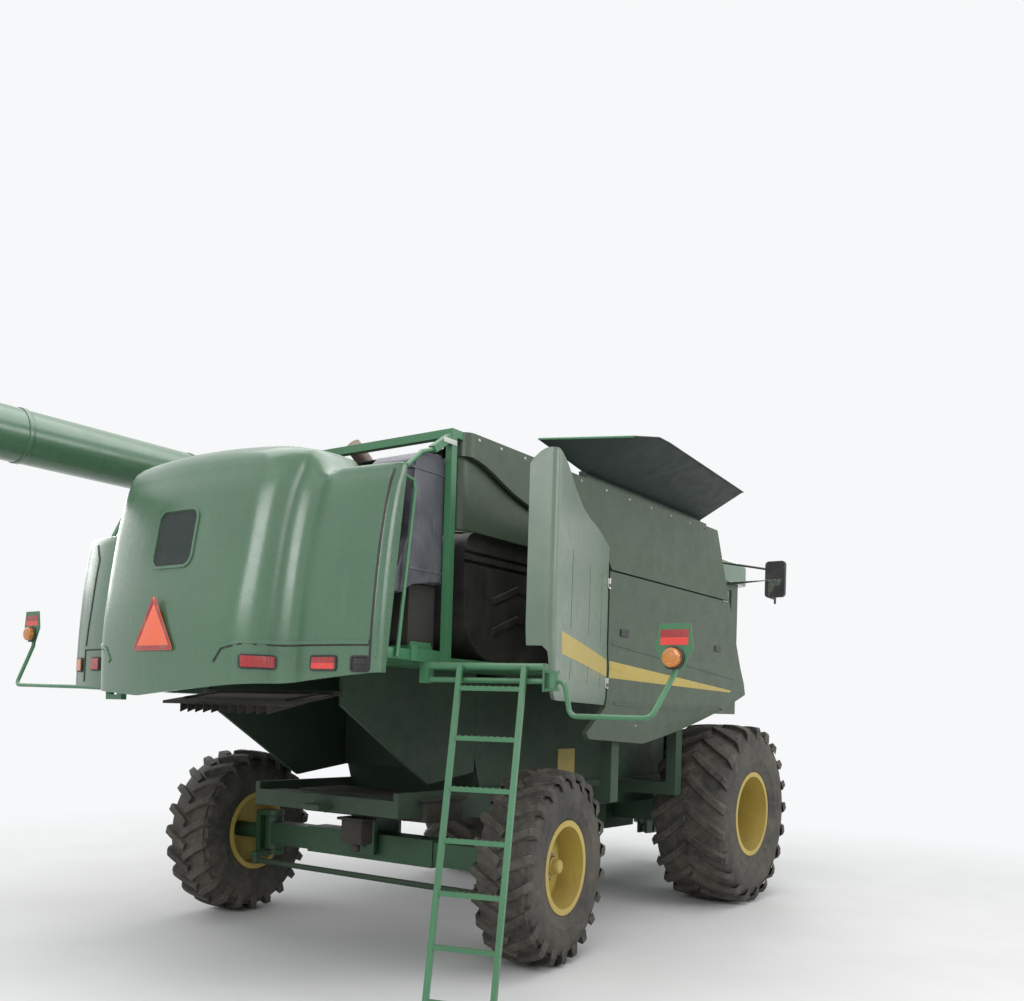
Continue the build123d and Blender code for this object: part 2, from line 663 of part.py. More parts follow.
def warning_arm(side):
    """The bent arm with its paddle, which swings about its clamp."""
    if side < 0:
        x, y = RIGHT_CLAMP
        path = [(x, y - 26, 2090), (x, y - 85, 2090), (x, y - 130, ARM_Z), (x, -LAMP_Y + 60, ARM_Z)]
        path += [(x + 190, -LAMP_Y, 2150)]
        path += [(x + 190, -LAMP_Y, 2330)]
    else:
        x, y = LEFT_CLAMP
        path = [(x, y + 26, LEFT_ARM_Z), (x, y + 400, 2000), (x, LAMP_Y - 30, 2010), (x + 170, LAMP_Y, 2380)]
        path += [(x + 170, LAMP_Y, 2570)]
    end = path[-1]
    arm = bent_bar(path, 60, ARM_R)
    arm += Pos(x, y, path[0][2]) * Cylinder(34, 98)
    return arm + lamp_head(end[0] - ARM_R, end[1], end[2] - 180)


def arm_lamp(side):
    """The round amber lamp on the arm's paddle."""
    if side < 0:
        x, y, z = RIGHT_CLAMP[0] + 190, -LAMP_Y, 2330 - 180
    else:
        x, y, z = LEFT_CLAMP[0] + 170, LAMP_Y, 2570 - 180
    return Pos(x - ARM_R - 4 - FIT - 22, y, z + 90) * Rot(0, 90, 0) * Cylinder(60, 44)


LADDER_ACROSS = (0.26, -0.9656)
LADDER_TOP = (-4906, -1811, 2180)
LADDER_FOOT = (-5296, -1916, 45)
BAR_Z = DECK_Z - DECK_T - 24 - FIT
BAR_LENGTH = 870
LADDER_WIDE = 440
LADDER_RUNGS = 7


def rear_ladder():
    """The ladder hung from its bar, with flat rungs and hooked feet."""
    dx, dy = LADDER_ACROSS[0] * LADDER_WIDE, LADDER_ACROSS[1] * LADDER_WIDE
    top, foot = Vector(*LADDER_TOP), Vector(*LADDER_FOOT)
    across = Vector(dx, dy, 0)
    ladder = square_bar(foot, top, 34) + square_bar(foot + across, top + across, 34)
    for step in range(LADDER_RUNGS):
        share = 0.03 + 0.15 * step
        left = foot + (top - foot) * share
        ladder += square_bar(left, left + across, 30)
    return ladder


def ladder_bar():
    """The bar that sticks out of the deck and carries the ladder and the right arm's clamp."""
    x, y = RIGHT_CLAMP
    root = (x - LADDER_ACROSS[0] * BAR_LENGTH, y - LADDER_ACROSS[1] * BAR_LENGTH)
    near = (x - LADDER_ACROSS[0] * 50, y - LADDER_ACROSS[1] * 50)
    carrier = bar((*root, BAR_Z), (*near, BAR_Z), 24)
    carrier += bar((*root, BAR_Z - 90), (*near, BAR_Z - 90), 18)
    carrier += Pos(root[0], root[1] + 10, BAR_Z - 45) * Box(60, 70, 138)
    carrier += block((near[0] - 25, near[0] + 25), (near[1] - 5, near[1] + 10), (2020, BAR_Z + 20))
    for z in (2090 - 49 - FIT - 15, 2090 + 49 + FIT):
        carrier += block((x - 30, x + 30), (y - 30, near[1] + 10), (z, z + 15))
    return carrier


# Cab, platform and mirrors

def cab_plan(z, inset):
    """The cab's plan at a level, with its curved front."""
    s = CAB_HALF - inset
    rear, front, nose = CAB_REAR + inset, CAB_FRONT - inset, CAB_FRONT + 130 - inset
    run = [Line((rear, -s, z), (front, -s, z)), ThreePointArc((front, -s, z), (nose, 0, z), (front, s, z))]
    run += [Line((front, s, z), (rear, s, z)), Line((rear, s, z), (rear, -s, z))]
    return Face(Wire(run))


def cab_hull(inset, low, high):
    """The cab's body between two levels."""
    return loft([cab_plan(low, inset), cab_plan(high, inset)])


DOOR_X = (480, 1420)
GLASS_Z = (2560, 3480)


def cab_windows():
    """The openings of the front, right side and rear."""
    cuts = block((CAB_REAR + 440, 3000), (-CAB_HALF + CAB_POST, CAB_HALF - CAB_POST), (2150, GLASS_Z[1]))
    cuts += block((CAB_REAR + 140, CAB_FRONT - 190), (-CAB_HALF - 10, -CAB_HALF + 60), (2350, GLASS_Z[1]))
    cuts += block((DOOR_X[1] + 100, CAB_FRONT - 120), (CAB_HALF - 60, CAB_HALF + 10), (2350, GLASS_Z[1]))
    cuts += block((CAB_REAR - 10, CAB_REAR + 60), (-560, 560), (2700, GLASS_Z[1]))
    return cuts


def cab_shell():
    """Floor, walls and posts, with the windows and the door's opening cut."""
    shell = cab_hull(0, CAB_FLOOR, CAB_EAVES) - cab_hull(CAB_SHEET, CAB_FLOOR + 60, CAB_EAVES + 1)
    shell -= cab_windows()
    x0, x1 = DOOR_X
    shell -= block((x0 - DOOR_GAP, x1 + DOOR_GAP), (CAB_HALF - 60, CAB_HALF + 10), (2040, GLASS_Z[1] + 20))
    for z in DOOR_HINGES:
        shell += hinge_leaf(x0 - DOOR_GAP / 2, DOOR_AXIS_Y, z - 15, -40, CAB_HALF - DOOR_AXIS_Y)
    return shell


def cab_glass():
    """The panes in the middle of the cab's walls."""
    pane = cab_hull(18, 2152, GLASS_Z[1] - 2) - cab_hull(26, 2140, GLASS_Z[1] + 10)
    x0, x1 = DOOR_X
    pane &= cab_windows()
    return pane - block((x0 - 60, x1 + 60), (CAB_HALF - 80, CAB_HALF + 10), (2000, 3600))


def cab_roof():
    """The roof with its overhang and rounded edges."""
    low, high = CAB_EAVES + FIT, CAB_EAVES + 270
    outline = [(CAB_REAR - 90, -CAB_HALF - 70), (CAB_FRONT + 120, -CAB_HALF - 70), (CAB_FRONT + 330, -420)]
    outline += [(CAB_FRONT + 330, 420), (CAB_FRONT + 120, CAB_HALF + 70), (CAB_REAR - 90, CAB_HALF + 70)]
    roof = prism_z(outline, low, high)
    roof = fillet(roof.edges().filter_by(Axis.Z), 90)
    return fillet(roof.faces().sort_by(Axis.Z)[-1].edges(), 60)


def cab_seat():
    """The seat with its pedestal and armrest console, and the steering column."""
    floor = CAB_FLOOR + 60 + FIT
    x = CAB_REAR + 300
    seat = block((x + 60, x + 460), (-200, 200), (floor, floor + 330))
    seat += block((x + 20, x + 560), (-260, 260), (floor + 330, floor + 450))
    seat += block((x - 40, x + 90), (-250, 250), (floor + 450, floor + 1080))
    seat += block((x + 110, x + 610), (-440, -290), (floor + 440, floor + 620))
    seat += block((x + 160, x + 410), (-430, -260), (floor + 330, floor + 440))
    column = (x + 990, 0, floor + 60)
    head = (x + 850, 0, floor + 720)
    seat += Pos(x + 990, 0, floor + 35) * Cylinder(60, 70)
    seat += bar(column, head, 45)
    tilt = Plane(origin=head, z_dir=(-0.21, 0, 0.98))
    return seat + tilt * Torus(200, 16) + tilt * Box(400, 40, 20)


def cab_door():
    """The door's frame, hinged at its rear edge."""
    x0, x1 = DOOR_X
    frame = block((x0, x1), (CAB_HALF - 45, CAB_HALF), (2046, GLASS_Z[1] + 14))
    frame -= block((x0 + 60, x1 - 60), (CAB_HALF - 60, CAB_HALF + 10), (2130, GLASS_Z[1] - 50))
    frame += block((x1 - 58, x1 - 20), (CAB_HALF, CAB_HALF + 50), (2500, 2800))
    for z in DOOR_HINGES:
        frame += hinge_leaf(x0 - DOOR_GAP / 2, DOOR_AXIS_Y, z + 15, 40, CAB_HALF - DOOR_AXIS_Y)
    return frame


def door_glass():
    x0, x1 = DOOR_X
    return block((x0 + 60 + FIT, x1 - 60 - FIT), (CAB_HALF - 27, CAB_HALF - 19), (2130 + FIT, GLASS_Z[1] - 50 - FIT))


RAIL_R = 17
RAIL_HEIGHT = 1000


def operator_platform():
    """The landing left of the cab with its guard rail and brackets."""
    deck = block((300, ENTRY_HINGE[0]), (CAB_HALF + 70, PLATFORM_OUT), (PLATFORM_Z - 50, PLATFORM_Z))
    deck += block((360, 480), (BODY_HALF + RAIL_T + 2 * FIT, CAB_HALF + 300), (PLATFORM_Z - 140, PLATFORM_Z - 50))
    deck += block((360, 480), (BODY_HALF + RAIL_T + 2 * FIT, CAB_HALF - 5), (PLATFORM_Z - 60, CAB_FLOOR - FIT))
    top = PLATFORM_Z + RAIL_HEIGHT
    edge = PLATFORM_OUT - 25
    for path in ([(1290, edge, PLATFORM_Z), (1290, edge, top), (330, edge, top), (330, edge, PLATFORM_Z)],
                 [(ENTRY_HINGE[0] - 30, CAB_HALF + 200, PLATFORM_Z), (ENTRY_HINGE[0] - 30, CAB_HALF + 200, top)]
                 + [(ENTRY_HINGE[0] - 30, edge, top), (ENTRY_HINGE[0] - 30, edge, PLATFORM_Z)]):
        deck += bent_bar(path, 90, RAIL_R)
    deck += bar((330, edge, PLATFORM_Z + 500), (1290, edge, PLATFORM_Z + 500), RAIL_R)
    deck += Pos(ENTRY_HINGE[0], ENTRY_HINGE[1], PLATFORM_Z - 25) * Cylinder(22, 50)
    return deck + block((ENTRY_HINGE[0] - 60, ENTRY_HINGE[0] + 10), (PLATFORM_OUT - 10, ENTRY_HINGE[1]), (PLATFORM_Z - 50, PLATFORM_Z))


def entry_ladder():
    """The steps below the landing, which swing forward about an upright pin."""
    x0, x1 = ENTRY_HINGE[0] - 500, ENTRY_HINGE[0] - 60
    top = PLATFORM_Z - 60
    low = 420
    ladder = Pos(ENTRY_HINGE[0], ENTRY_HINGE[1], PLATFORM_Z - 90) * Cylinder(40, 80 - 2 * FIT)
    for x in (x0, x1):
        ladder += square_bar((x, 2330, low), (x, 1990, top), 45)
    ladder += block((x0 - 22, ENTRY_HINGE[0]), (1960, 2010), (top - 55, top - 5))
    for step in range(5):
        share = 0.04 + 0.21 * step
        y = 2330 - 340 * share
        z = low + (top - low) * share
        ladder += block((x0, x1), (y - 75, y + 75), (z - 15, z + 15))
    return ladder


MIRROR = (500, 1870, 3400)


def mirrors():
    """A mirror on a bent arm at each side of the cab's roof."""
    x, y, z = MIRROR
    arm = bent_bar([(x, -CAB_HALF - 70 - FIT, z + 250), (x, -CAB_HALF - 300, z + 250)]
                   + [(x, -y, z + 100), (x, -y, z - 260)], 40, 12)
    glass = fillet(block((x - 22, x + 22), (-y - 110, -y + 110), (z - 190, z + 200)).edges().filter_by(Axis.X), 40)
    return both(arm + glass)


# Unloading auger

def auger_elbow():
    """The upright auger housing and the turntable that the tube swings on."""
    x, y = AUGER_PIVOT
    low = 2720
    elbow = Pos(x, y, (low + AUGER_Z - 330) / 2) * Cylinder(185, AUGER_Z - 330 - low)
    elbow += Pos(x, y, AUGER_Z - 345) * Cylinder(235, 30)
    elbow += block((x - 150, x + 150), (SIDE_Y + FIT, y), (low, low + 240))
    return elbow + block((x - 120, x + 120), (SIDE_Y + FIT, y), (3250, 3450))


def auger_tube():
    """The tube with its elbow, which swings out about the upright housing."""
    x, y = AUGER_PIVOT
    turn = Pos(x, y, AUGER_Z - 315) * Cylinder(230, 30 - 2 * FIT)
    turn += bent_bar([(x, y, AUGER_Z - 320), (x, y, AUGER_Z), (x - 620, y, AUGER_Z)], 240, 190)
    turn += bar((x - 560, y, AUGER_Z), (AUGER_TIP + 260, y, AUGER_Z), AUGER_R)
    turn += bar((x - 600, y, AUGER_Z), (x - 560, y, AUGER_Z), AUGER_R + 35)
    return turn + bar((AUGER_TIP + 300, y, AUGER_Z), (AUGER_TIP + 260, y, AUGER_Z), AUGER_R + 25)


def auger_spout():
    """The hanging rubber spout at the tube's tip."""
    x, y = AUGER_TIP, AUGER_PIVOT[1]
    spout = [(x + 260 - FIT, AUGER_Z + 230), (x + 60, AUGER_Z + 215), (x, AUGER_Z + 60), (x - 60, AUGER_Z - 420)]
    spout += [(x + 240, AUGER_Z - 480), (x + 260 - FIT, AUGER_Z - 230)]
    return prism_y(spout, y - 210, y + 210)


# Tank flaps: hinge station, across and height, with the direction that the flap leans to
FLAP_HALF = 1050
FLAP_END_HALF = 1500
FLAP_MIDDLE = -2000
FLAP_SIDE_Z = BODY_TOP + 60
FLAP_END_Z = BODY_TOP + 22
FLAP_FRONT_X = TANK_FRONT_TOP - 22
FLAP_REAR_X = TANK_REAR + 20
FLAP_Y = 1575


def flap(name):
    """One raised flap: a sheet from its hinge line, with a bent lip at its free edge."""
    left = name == "left"
    lean = math.radians(FLAP_LEFT_LEAN if left else FLAP_LEAN)
    span = FLAP_LEFT_SPAN if left else FLAP_SPAN
    run, rise = span * math.cos(lean), span * math.sin(lean)
    out, up = -FLAP_T * math.sin(lean), FLAP_T * math.cos(lean)
    lip = [] if left else [(run + 28, rise + 8), (run + 28 + out, rise + 8 + up)]
    sheet = [(0, 0), (run, rise)] + lip + [(run + out, rise + up), (out, up)]
    if name in ("front", "rear"):
        side = 1 if name == "front" else -1
        base = FLAP_FRONT_X if name == "front" else FLAP_REAR_X
        points = [(base + side * a, FLAP_END_Z + b) for a, b in sheet]
        plate = prism_y(points, -FLAP_END_HALF, FLAP_END_HALF)
        return plate + Pos(base, 0, FLAP_END_Z) * Rot(90, 0, 0) * Cylinder(FLAP_TUBE_R, 2 * FLAP_END_HALF)
    side = 1 if left else -1
    points = [(side * (FLAP_Y + a), FLAP_SIDE_Z + b) for a, b in sheet]
    plate = prism_x(points, FLAP_MIDDLE - FLAP_HALF, FLAP_MIDDLE + FLAP_HALF)
    tube = Pos(FLAP_MIDDLE, side * FLAP_Y, FLAP_SIDE_Z) * Rot(0, 90, 0) * Cylinder(FLAP_TUBE_R, 2 * FLAP_HALF)
    return plate + tube


def flap_seats():
    """The lugs on the tank's edge that carry the flaps' hinge tubes, outside each hinge line."""
    lugs = []
    near, far = 1, 7
    for x, side in ((FLAP_FRONT_X, 1), (FLAP_REAR_X, -1)):
        top = FLAP_END_Z - FLAP_TUBE_R - FIT
        for y in (-1200, 0, 1200):
            lugs += [block((x - 12, x + 12), (y - 30, y + 30), (BODY_TOP - 60, BODY_TOP - 5))]
            lugs += [block((x + side * near, x + side * far), (y - 30, y + 30), (BODY_TOP - 60, top))]
    for side in (-1, 1):
        top = FLAP_SIDE_Z - FLAP_TUBE_R - FIT
        for x in (FLAP_MIDDLE - 800, FLAP_MIDDLE + 800):
            y = side * FLAP_Y
            lugs += [block((x - 30, x + 30), (y + side * near, y + side * far), (BODY_TOP - 20, top))]
    return lugs


# Feeder house and lift

def feeder_house():
    """The sloping intake with its hinge pins, front frame and lift lugs."""
    body = [(480, 1780), (2600, 1160), (2410, 500), (600, 1185)]
    feeder = prism_y(body, -FEEDER_HALF, FEEDER_HALF)
    frame = [(MOUTH_TOP[0] - 100, MOUTH_TOP[1] + 28), MOUTH_TOP, MOUTH_LOW, (MOUTH_LOW[0] - 100, MOUTH_LOW[1] + 28)]
    feeder += prism_y(frame, -FEEDER_HALF - 60, FEEDER_HALF + 60)
    mouth = [(2380, 1120), (2800, 1000), (2600, 480), (2200, 620)]
    feeder -= prism_y(mouth, -FEEDER_HALF + 40, FEEDER_HALF - 40)
    x, z = FEEDER_PIVOT
    reach = BODY_HALF + FIT + RAIL_T + 20
    feeder += Pos(x, 0, z) * Rot(90, 0, 0) * Cylinder(FEEDER_PIN_R, 2 * reach)
    x, z = LIFT_EYE
    for side in (-1, 1):
        for ear in (LIFT_Y - 60, LIFT_Y + 60):
            lug = [(x - 110, z + 90), (x - 45, z - 45), (x + 45, z - 45), (x + 110, z + 30), (x + 80, z + 120)]
            feeder += prism_y(lug, side * ear - 14, side * ear + 14)
        feeder += Pos(x, side * LIFT_Y, z) * Rot(90, 0, 0) * Cylinder(LIFT_PIN_R, 140)
    return feeder


def lift_frame(side):
    """The cylinder's own frame: its start at the base pin and Z along the rod."""
    x, z = LIFT_BASE
    run = Vector(LIFT_EYE[0] - x, 0, LIFT_EYE[1] - z)
    return Plane(origin=(x, side * LIFT_Y, z), x_dir=(0, 1, 0), z_dir=run)


def lift_length():
    return math.dist(LIFT_BASE, LIFT_EYE)


def lift_barrel(side):
    low = (Align.CENTER, Align.CENTER, Align.MIN)
    tube = Pos(0, 0, 90) * Cylinder(LIFT_BARREL_R, LIFT_BARREL - 90, align=low)
    tube += Rot(0, 90, 0) * Cylinder(46, 60)
    tube += Pos(0, 0, 50) * Box(56, 80, 100)
    tube -= Pos(0, 0, 90) * Cylinder(LIFT_ROD_R + PIN_FIT, LIFT_BARREL, align=low)
    tube -= Rot(0, 90, 0) * Cylinder(LIFT_PIN_R + PIN_FIT, 90)
    return lift_frame(side) * tube


def lift_rod(side):
    length = lift_length()
    low = (Align.CENTER, Align.CENTER, Align.MIN)
    rod = Pos(0, 0, 260) * Cylinder(LIFT_ROD_R, length - 260 - 62, align=low)
    rod += Pos(0, 0, length) * Rot(0, 90, 0) * Cylinder(60, 70)
    rod += Pos(0, 0, length - 60) * Box(60, 70, 30)
    rod -= Pos(0, 0, length) * Rot(0, 90, 0) * Cylinder(LIFT_EYE_BORE, 90)
    return lift_frame(side) * rod


def assembly():
    """Every sub-part by its node's name, in stations from the front axle."""
    parts = dict(main_frame=main_frame(), tank_outriggers=tank_outriggers())
    parts.update(front_axle=front_axle(), rear_axle=rear_axle())
    parts.update(separator_body=separator_body(), discharge_chute=discharge_chute())
    parts.update(chopper_tailboard=chopper_tailboard(), grain_tank=grain_tank() + flap_seats())
    parts.update(upper_panels=upper_panels(), lower_panels=lower_panels(), engine_bay=engine_bay())
    parts.update(engine=engine(), cooling_box=cooling_box(), rotary_screen=rotary_screen())
    parts.update(fuel_tank=fuel_tank(), air_duct=air_duct(), exhaust_stack=exhaust_stack())
    parts.update(rear_hood=rear_hood(), smv_triangle=smv_triangle())
    parts["red_lenses"] = Compound(hood_lamps("red"))
    parts["amber_lenses"] = Compound(hood_lamps("amber"))
    parts["rear_ladder"] = rear_ladder() + ladder_bar()
    for name, side in (("right", -1), ("left", 1)):
        parts[f"warning_arm_{name}"] = warning_arm(side)
        parts[f"arm_lamp_{name}"] = arm_lamp(side)
        parts[f"shield_{name}"] = shield(side)
        parts[f"knuckle_{name}"] = knuckle(side)
        parts[f"lift_barrel_{name}"] = lift_barrel(side)
        parts[f"lift_rod_{name}"] = lift_rod(side)
    parts.update(tie_rod=tie_rod(), cab_shell=cab_shell(), cab_glass=cab_glass(), cab_roof=cab_roof())
    parts.update(cab_seat=cab_seat(), cab_door=cab_door(), door_glass=door_glass())
    parts.update(operator_platform=operator_platform(), entry_ladder=entry_ladder(), mirrors=mirrors())
    parts.update(auger_elbow=auger_elbow(), auger_tube=auger_tube(), auger_spout=auger_spout())
    for name in ("front", "rear", "right", "left"):
        parts[f"tank_flap_{name}"] = flap(name)
    parts["feeder_house"] = feeder_house()
    parts.update(wheels())
    return parts


def main():
    os.makedirs("parts", exist_ok=True)
    for name, solid in assembly().items():
        export_step(Pos(-ORIGIN_X, 0, 0) * solid, f"parts/{name}.step")


if __name__ == "__main__":
    main()
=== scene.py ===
import bpy
import bmesh
import math
from mathutils import Matrix, Vector
from mathutils.bvhtree import BVHTree


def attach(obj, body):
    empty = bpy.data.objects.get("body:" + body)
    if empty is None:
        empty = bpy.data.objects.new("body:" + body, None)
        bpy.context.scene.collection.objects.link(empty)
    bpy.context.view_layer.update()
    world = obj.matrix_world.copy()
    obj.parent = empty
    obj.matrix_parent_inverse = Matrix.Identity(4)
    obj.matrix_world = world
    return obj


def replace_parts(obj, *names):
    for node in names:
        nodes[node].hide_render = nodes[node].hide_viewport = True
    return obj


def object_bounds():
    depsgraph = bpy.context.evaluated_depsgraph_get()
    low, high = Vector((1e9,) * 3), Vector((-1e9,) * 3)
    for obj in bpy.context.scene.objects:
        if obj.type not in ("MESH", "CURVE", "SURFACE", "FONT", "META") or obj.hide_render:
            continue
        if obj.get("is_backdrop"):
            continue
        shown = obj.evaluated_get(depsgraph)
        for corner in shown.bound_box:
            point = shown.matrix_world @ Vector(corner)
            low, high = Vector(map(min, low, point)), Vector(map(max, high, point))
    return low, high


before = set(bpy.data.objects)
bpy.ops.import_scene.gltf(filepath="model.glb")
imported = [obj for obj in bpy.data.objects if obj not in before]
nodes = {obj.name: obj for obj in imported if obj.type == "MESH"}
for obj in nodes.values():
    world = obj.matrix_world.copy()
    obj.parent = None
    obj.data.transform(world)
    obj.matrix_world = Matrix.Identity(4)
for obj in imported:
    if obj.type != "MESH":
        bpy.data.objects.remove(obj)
cad_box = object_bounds()

# Stations are written from the ground below the front axle, in metres; AHEAD moves them to the row frame.
AHEAD = 2.140
SIDE_Y = 1.650
HINGE_X = -2.722
HINGE_Y = -1.660
SHIELD_REST = math.radians(20)


# Materials

class Look:
    """One procedural material on a Principled shader."""

    def __init__(self, name, **inputs):
        self.material = bpy.data.materials.new(name)
        self.material.use_nodes = True
        self.tree = self.material.node_tree
        self.shader = self.tree.nodes["Principled BSDF"]
        for socket, value in inputs.items():
            self.shader.inputs[socket.replace("_", " ")].default_value = value
        self.place = self.add("ShaderNodeTexCoord").outputs["Object"]

    def add(self, kind, **settings):
        node = self.tree.nodes.new(kind)
        for key, value in settings.items():
            setattr(node, key, value)
        return node

    def join(self, source, target):
        self.tree.links.new(source, target)

    def stretched(self, scale):
        mapping = self.add("ShaderNodeMapping")
        mapping.inputs["Scale"].default_value = scale
        self.join(self.place, mapping.inputs["Vector"])
        return mapping.outputs["Vector"]

    def noise(self, scale, detail=5.0, rough=0.6, stretch=None, warp=0.0):
        node = self.add("ShaderNodeTexNoise")
        node.inputs["Scale"].default_value = scale
        node.inputs["Detail"].default_value = detail
        node.inputs["Roughness"].default_value = rough
        node.inputs["Distortion"].default_value = warp
        self.join(self.stretched(stretch) if stretch else self.place, node.inputs["Vector"])
        return node.outputs["Fac"]

    def ramp(self, source, low, high, bottom=0.0, top=1.0):
        node = self.add("ShaderNodeMapRange")
        node.interpolation_type = "SMOOTHSTEP"
        node.inputs["From Min"].default_value = low
        node.inputs["From Max"].default_value = high
        node.inputs["To Min"].default_value = bottom
        node.inputs["To Max"].default_value = top
        self.join(source, node.inputs["Value"])
        return node.outputs["Result"]

    def math(self, operation, a, b):
        node = self.add("ShaderNodeMath", operation=operation)
        for socket, value in zip(node.inputs, (a, b)):
            if isinstance(value, (int, float)):
                socket.default_value = value
            else:
                self.join(value, socket)
        return node.outputs[0]

    def mix(self, factor, a, b, blend="MIX"):
        node = self.add("ShaderNodeMix", data_type="RGBA", blend_type=blend)
        for socket, value in zip((node.inputs[0], node.inputs[6], node.inputs[7]), (factor, a, b)):
            if isinstance(value, (int, float)):
                socket.default_value = value
            elif isinstance(value, tuple):
                socket.default_value = (*value, 1.0)
            else:
                self.join(value, socket)
        return node.outputs[2]

    def upward(self):
        """How far a surface faces up, from 0 to 1."""
        split = self.add("ShaderNodeSeparateXYZ")
        self.join(self.add("ShaderNodeNewGeometry").outputs["Normal"], split.inputs[0])
        return self.ramp(split.outputs["Z"], 0.15, 0.95)

    def worn_edges(self, radius, low=0.02, high=0.12):
        """Where a rounded edge would be, broken up by noise."""
        bevel = self.add("ShaderNodeBevel", samples=4)
        bevel.inputs["Radius"].default_value = radius
        dot = self.add("ShaderNodeVectorMath", operation="DOT_PRODUCT")
        self.join(bevel.outputs["Normal"], dot.inputs[0])
        self.join(self.add("ShaderNodeNewGeometry").outputs["Normal"], dot.inputs[1])
        edge = self.math("SUBTRACT", 1.0, dot.outputs["Value"])
        chips = self.ramp(self.noise(18.0, 6.0, 0.7), 0.42, 0.62)
        return self.math("MULTIPLY", self.ramp(edge, low, high), chips)

    def bump(self, parts, strength=0.3, soften=0.0):
        """Stacks (height, distance) pairs on the shader's normal."""
        last = None
        if soften:
            rounded = self.add("ShaderNodeBevel", samples=4)
            rounded.inputs["Radius"].default_value = soften
            last = rounded.outputs["Normal"]
        for height, distance in parts:
            node = self.add("ShaderNodeBump")
            node.inputs["Strength"].default_value = strength
            node.inputs["Distance"].default_value = distance
            self.join(height, node.inputs["Height"])
            if last:
                self.join(last, node.inputs["Normal"])
            last = node.outputs["Normal"]
        self.join(last, self.shader.inputs["Normal"])

    def color(self, source):
        self.join(source, self.shader.inputs["Base Color"])

    def rough(self, source):
        self.join(source, self.shader.inputs["Roughness"])


DUST = (0.30, 0.27, 0.21)
PALE_DUST = (0.42, 0.40, 0.34)


def paint(name, base, deep, dust=0.35, streaks=0.3, gloss=0.35, worn=0.0, coat=0.25, soil=DUST, soften=0.004):
    """Sprayed paint with faded patches, dust, runs of dirt and chipped edges."""
    look = Look(name, Coat_Weight=coat, Coat_Roughness=0.22, Specular_IOR_Level=0.45)
    fade = look.ramp(look.noise(1.3, 4.0, 0.55), 0.3, 0.72)
    tone = look.mix(fade, deep, base)
    mottle = look.noise(46.0, 4.0, 0.65)
    tone = look.mix(look.ramp(mottle, 0.35, 0.75, 0.0, 0.16), tone, tuple(min(1.0, c * 1.6) for c in base))
    cloud = look.ramp(look.noise(0.9, 8.0, 0.55, warp=0.3), 0.25, 0.95, 0.3, 0.8)
    lying = look.upward()
    film = look.math("ADD", look.math("MULTIPLY", cloud, dust), look.math("MULTIPLY", lying, 0.28))
    runs = look.ramp(look.noise(1.0, 5.0, 0.6, stretch=(16.0, 16.0, 0.9)), 0.56, 0.78, 0.0, streaks)
    film = look.math("MINIMUM", look.math("ADD", film, runs), 0.92)
    grit = look.ramp(look.noise(150.0, 3.0, 0.7), 0.3, 0.7, 0.75, 1.0)
    film = look.math("MULTIPLY", film, grit)
    tone = look.mix(film, tone, soil)
    if worn:
        chips = look.worn_edges(0.006)
        rust = look.mix(look.noise(60.0, 4.0), (0.10, 0.035, 0.015), (0.24, 0.22, 0.2))
        tone = look.mix(look.math("MULTIPLY", chips, worn), tone, rust)
    look.color(tone)
    scuffs = look.ramp(look.noise(7.0, 9.0, 0.75), 0.35, 0.7, 0.0, 0.18)
    look.rough(look.math("ADD", look.math("MULTIPLY", film, 0.45), look.math("ADD", scuffs, gloss)))
    look.bump([(look.noise(2.2, 2.0, 0.4), 0.006), (look.noise(240.0, 3.0, 0.6), 0.0006)], 0.28, soften)
    return look.material


def plastic(name, base, soil, dust=0.3, gloss=0.45, grain=420.0):
    """Moulded plastic with a leather-like grain and caked dust."""
    look = Look(name, Specular_IOR_Level=0.4)
    cloud = look.ramp(look.noise(3.4, 8.0, 0.65, warp=0.6), 0.36, 0.74)
    runs = look.ramp(look.noise(1.0, 5.0, 0.6, stretch=(20.0, 20.0, 1.2)), 0.5, 0.8)
    film = look.math("ADD", look.math("MULTIPLY", cloud, dust), look.math("MULTIPLY", runs, dust * 0.7))
    film = look.math("MINIMUM", look.math("ADD", film, look.math("MULTIPLY", look.upward(), 0.5)), 0.9)
    scratch = look.ramp(look.noise(4.0, 8.0, 0.8, stretch=(3.0, 3.0, 40.0)), 0.62, 0.7, 0.0, 0.25)
    tone = look.mix(film, base, soil)
    look.color(look.mix(scratch, tone, tuple(min(1.0, c * 2.4) for c in base)))
    look.rough(look.math("ADD", look.math("MULTIPLY", film, 0.35), gloss))
    cells = look.add("ShaderNodeTexVoronoi")
    cells.inputs["Scale"].default_value = grain
    look.join(look.place, cells.inputs["Vector"])
    look.bump([(look.noise(3.0, 2.0, 0.4), 0.008), (cells.outputs["Distance"], 0.0008)], 0.35, 0.006)
    return look.material


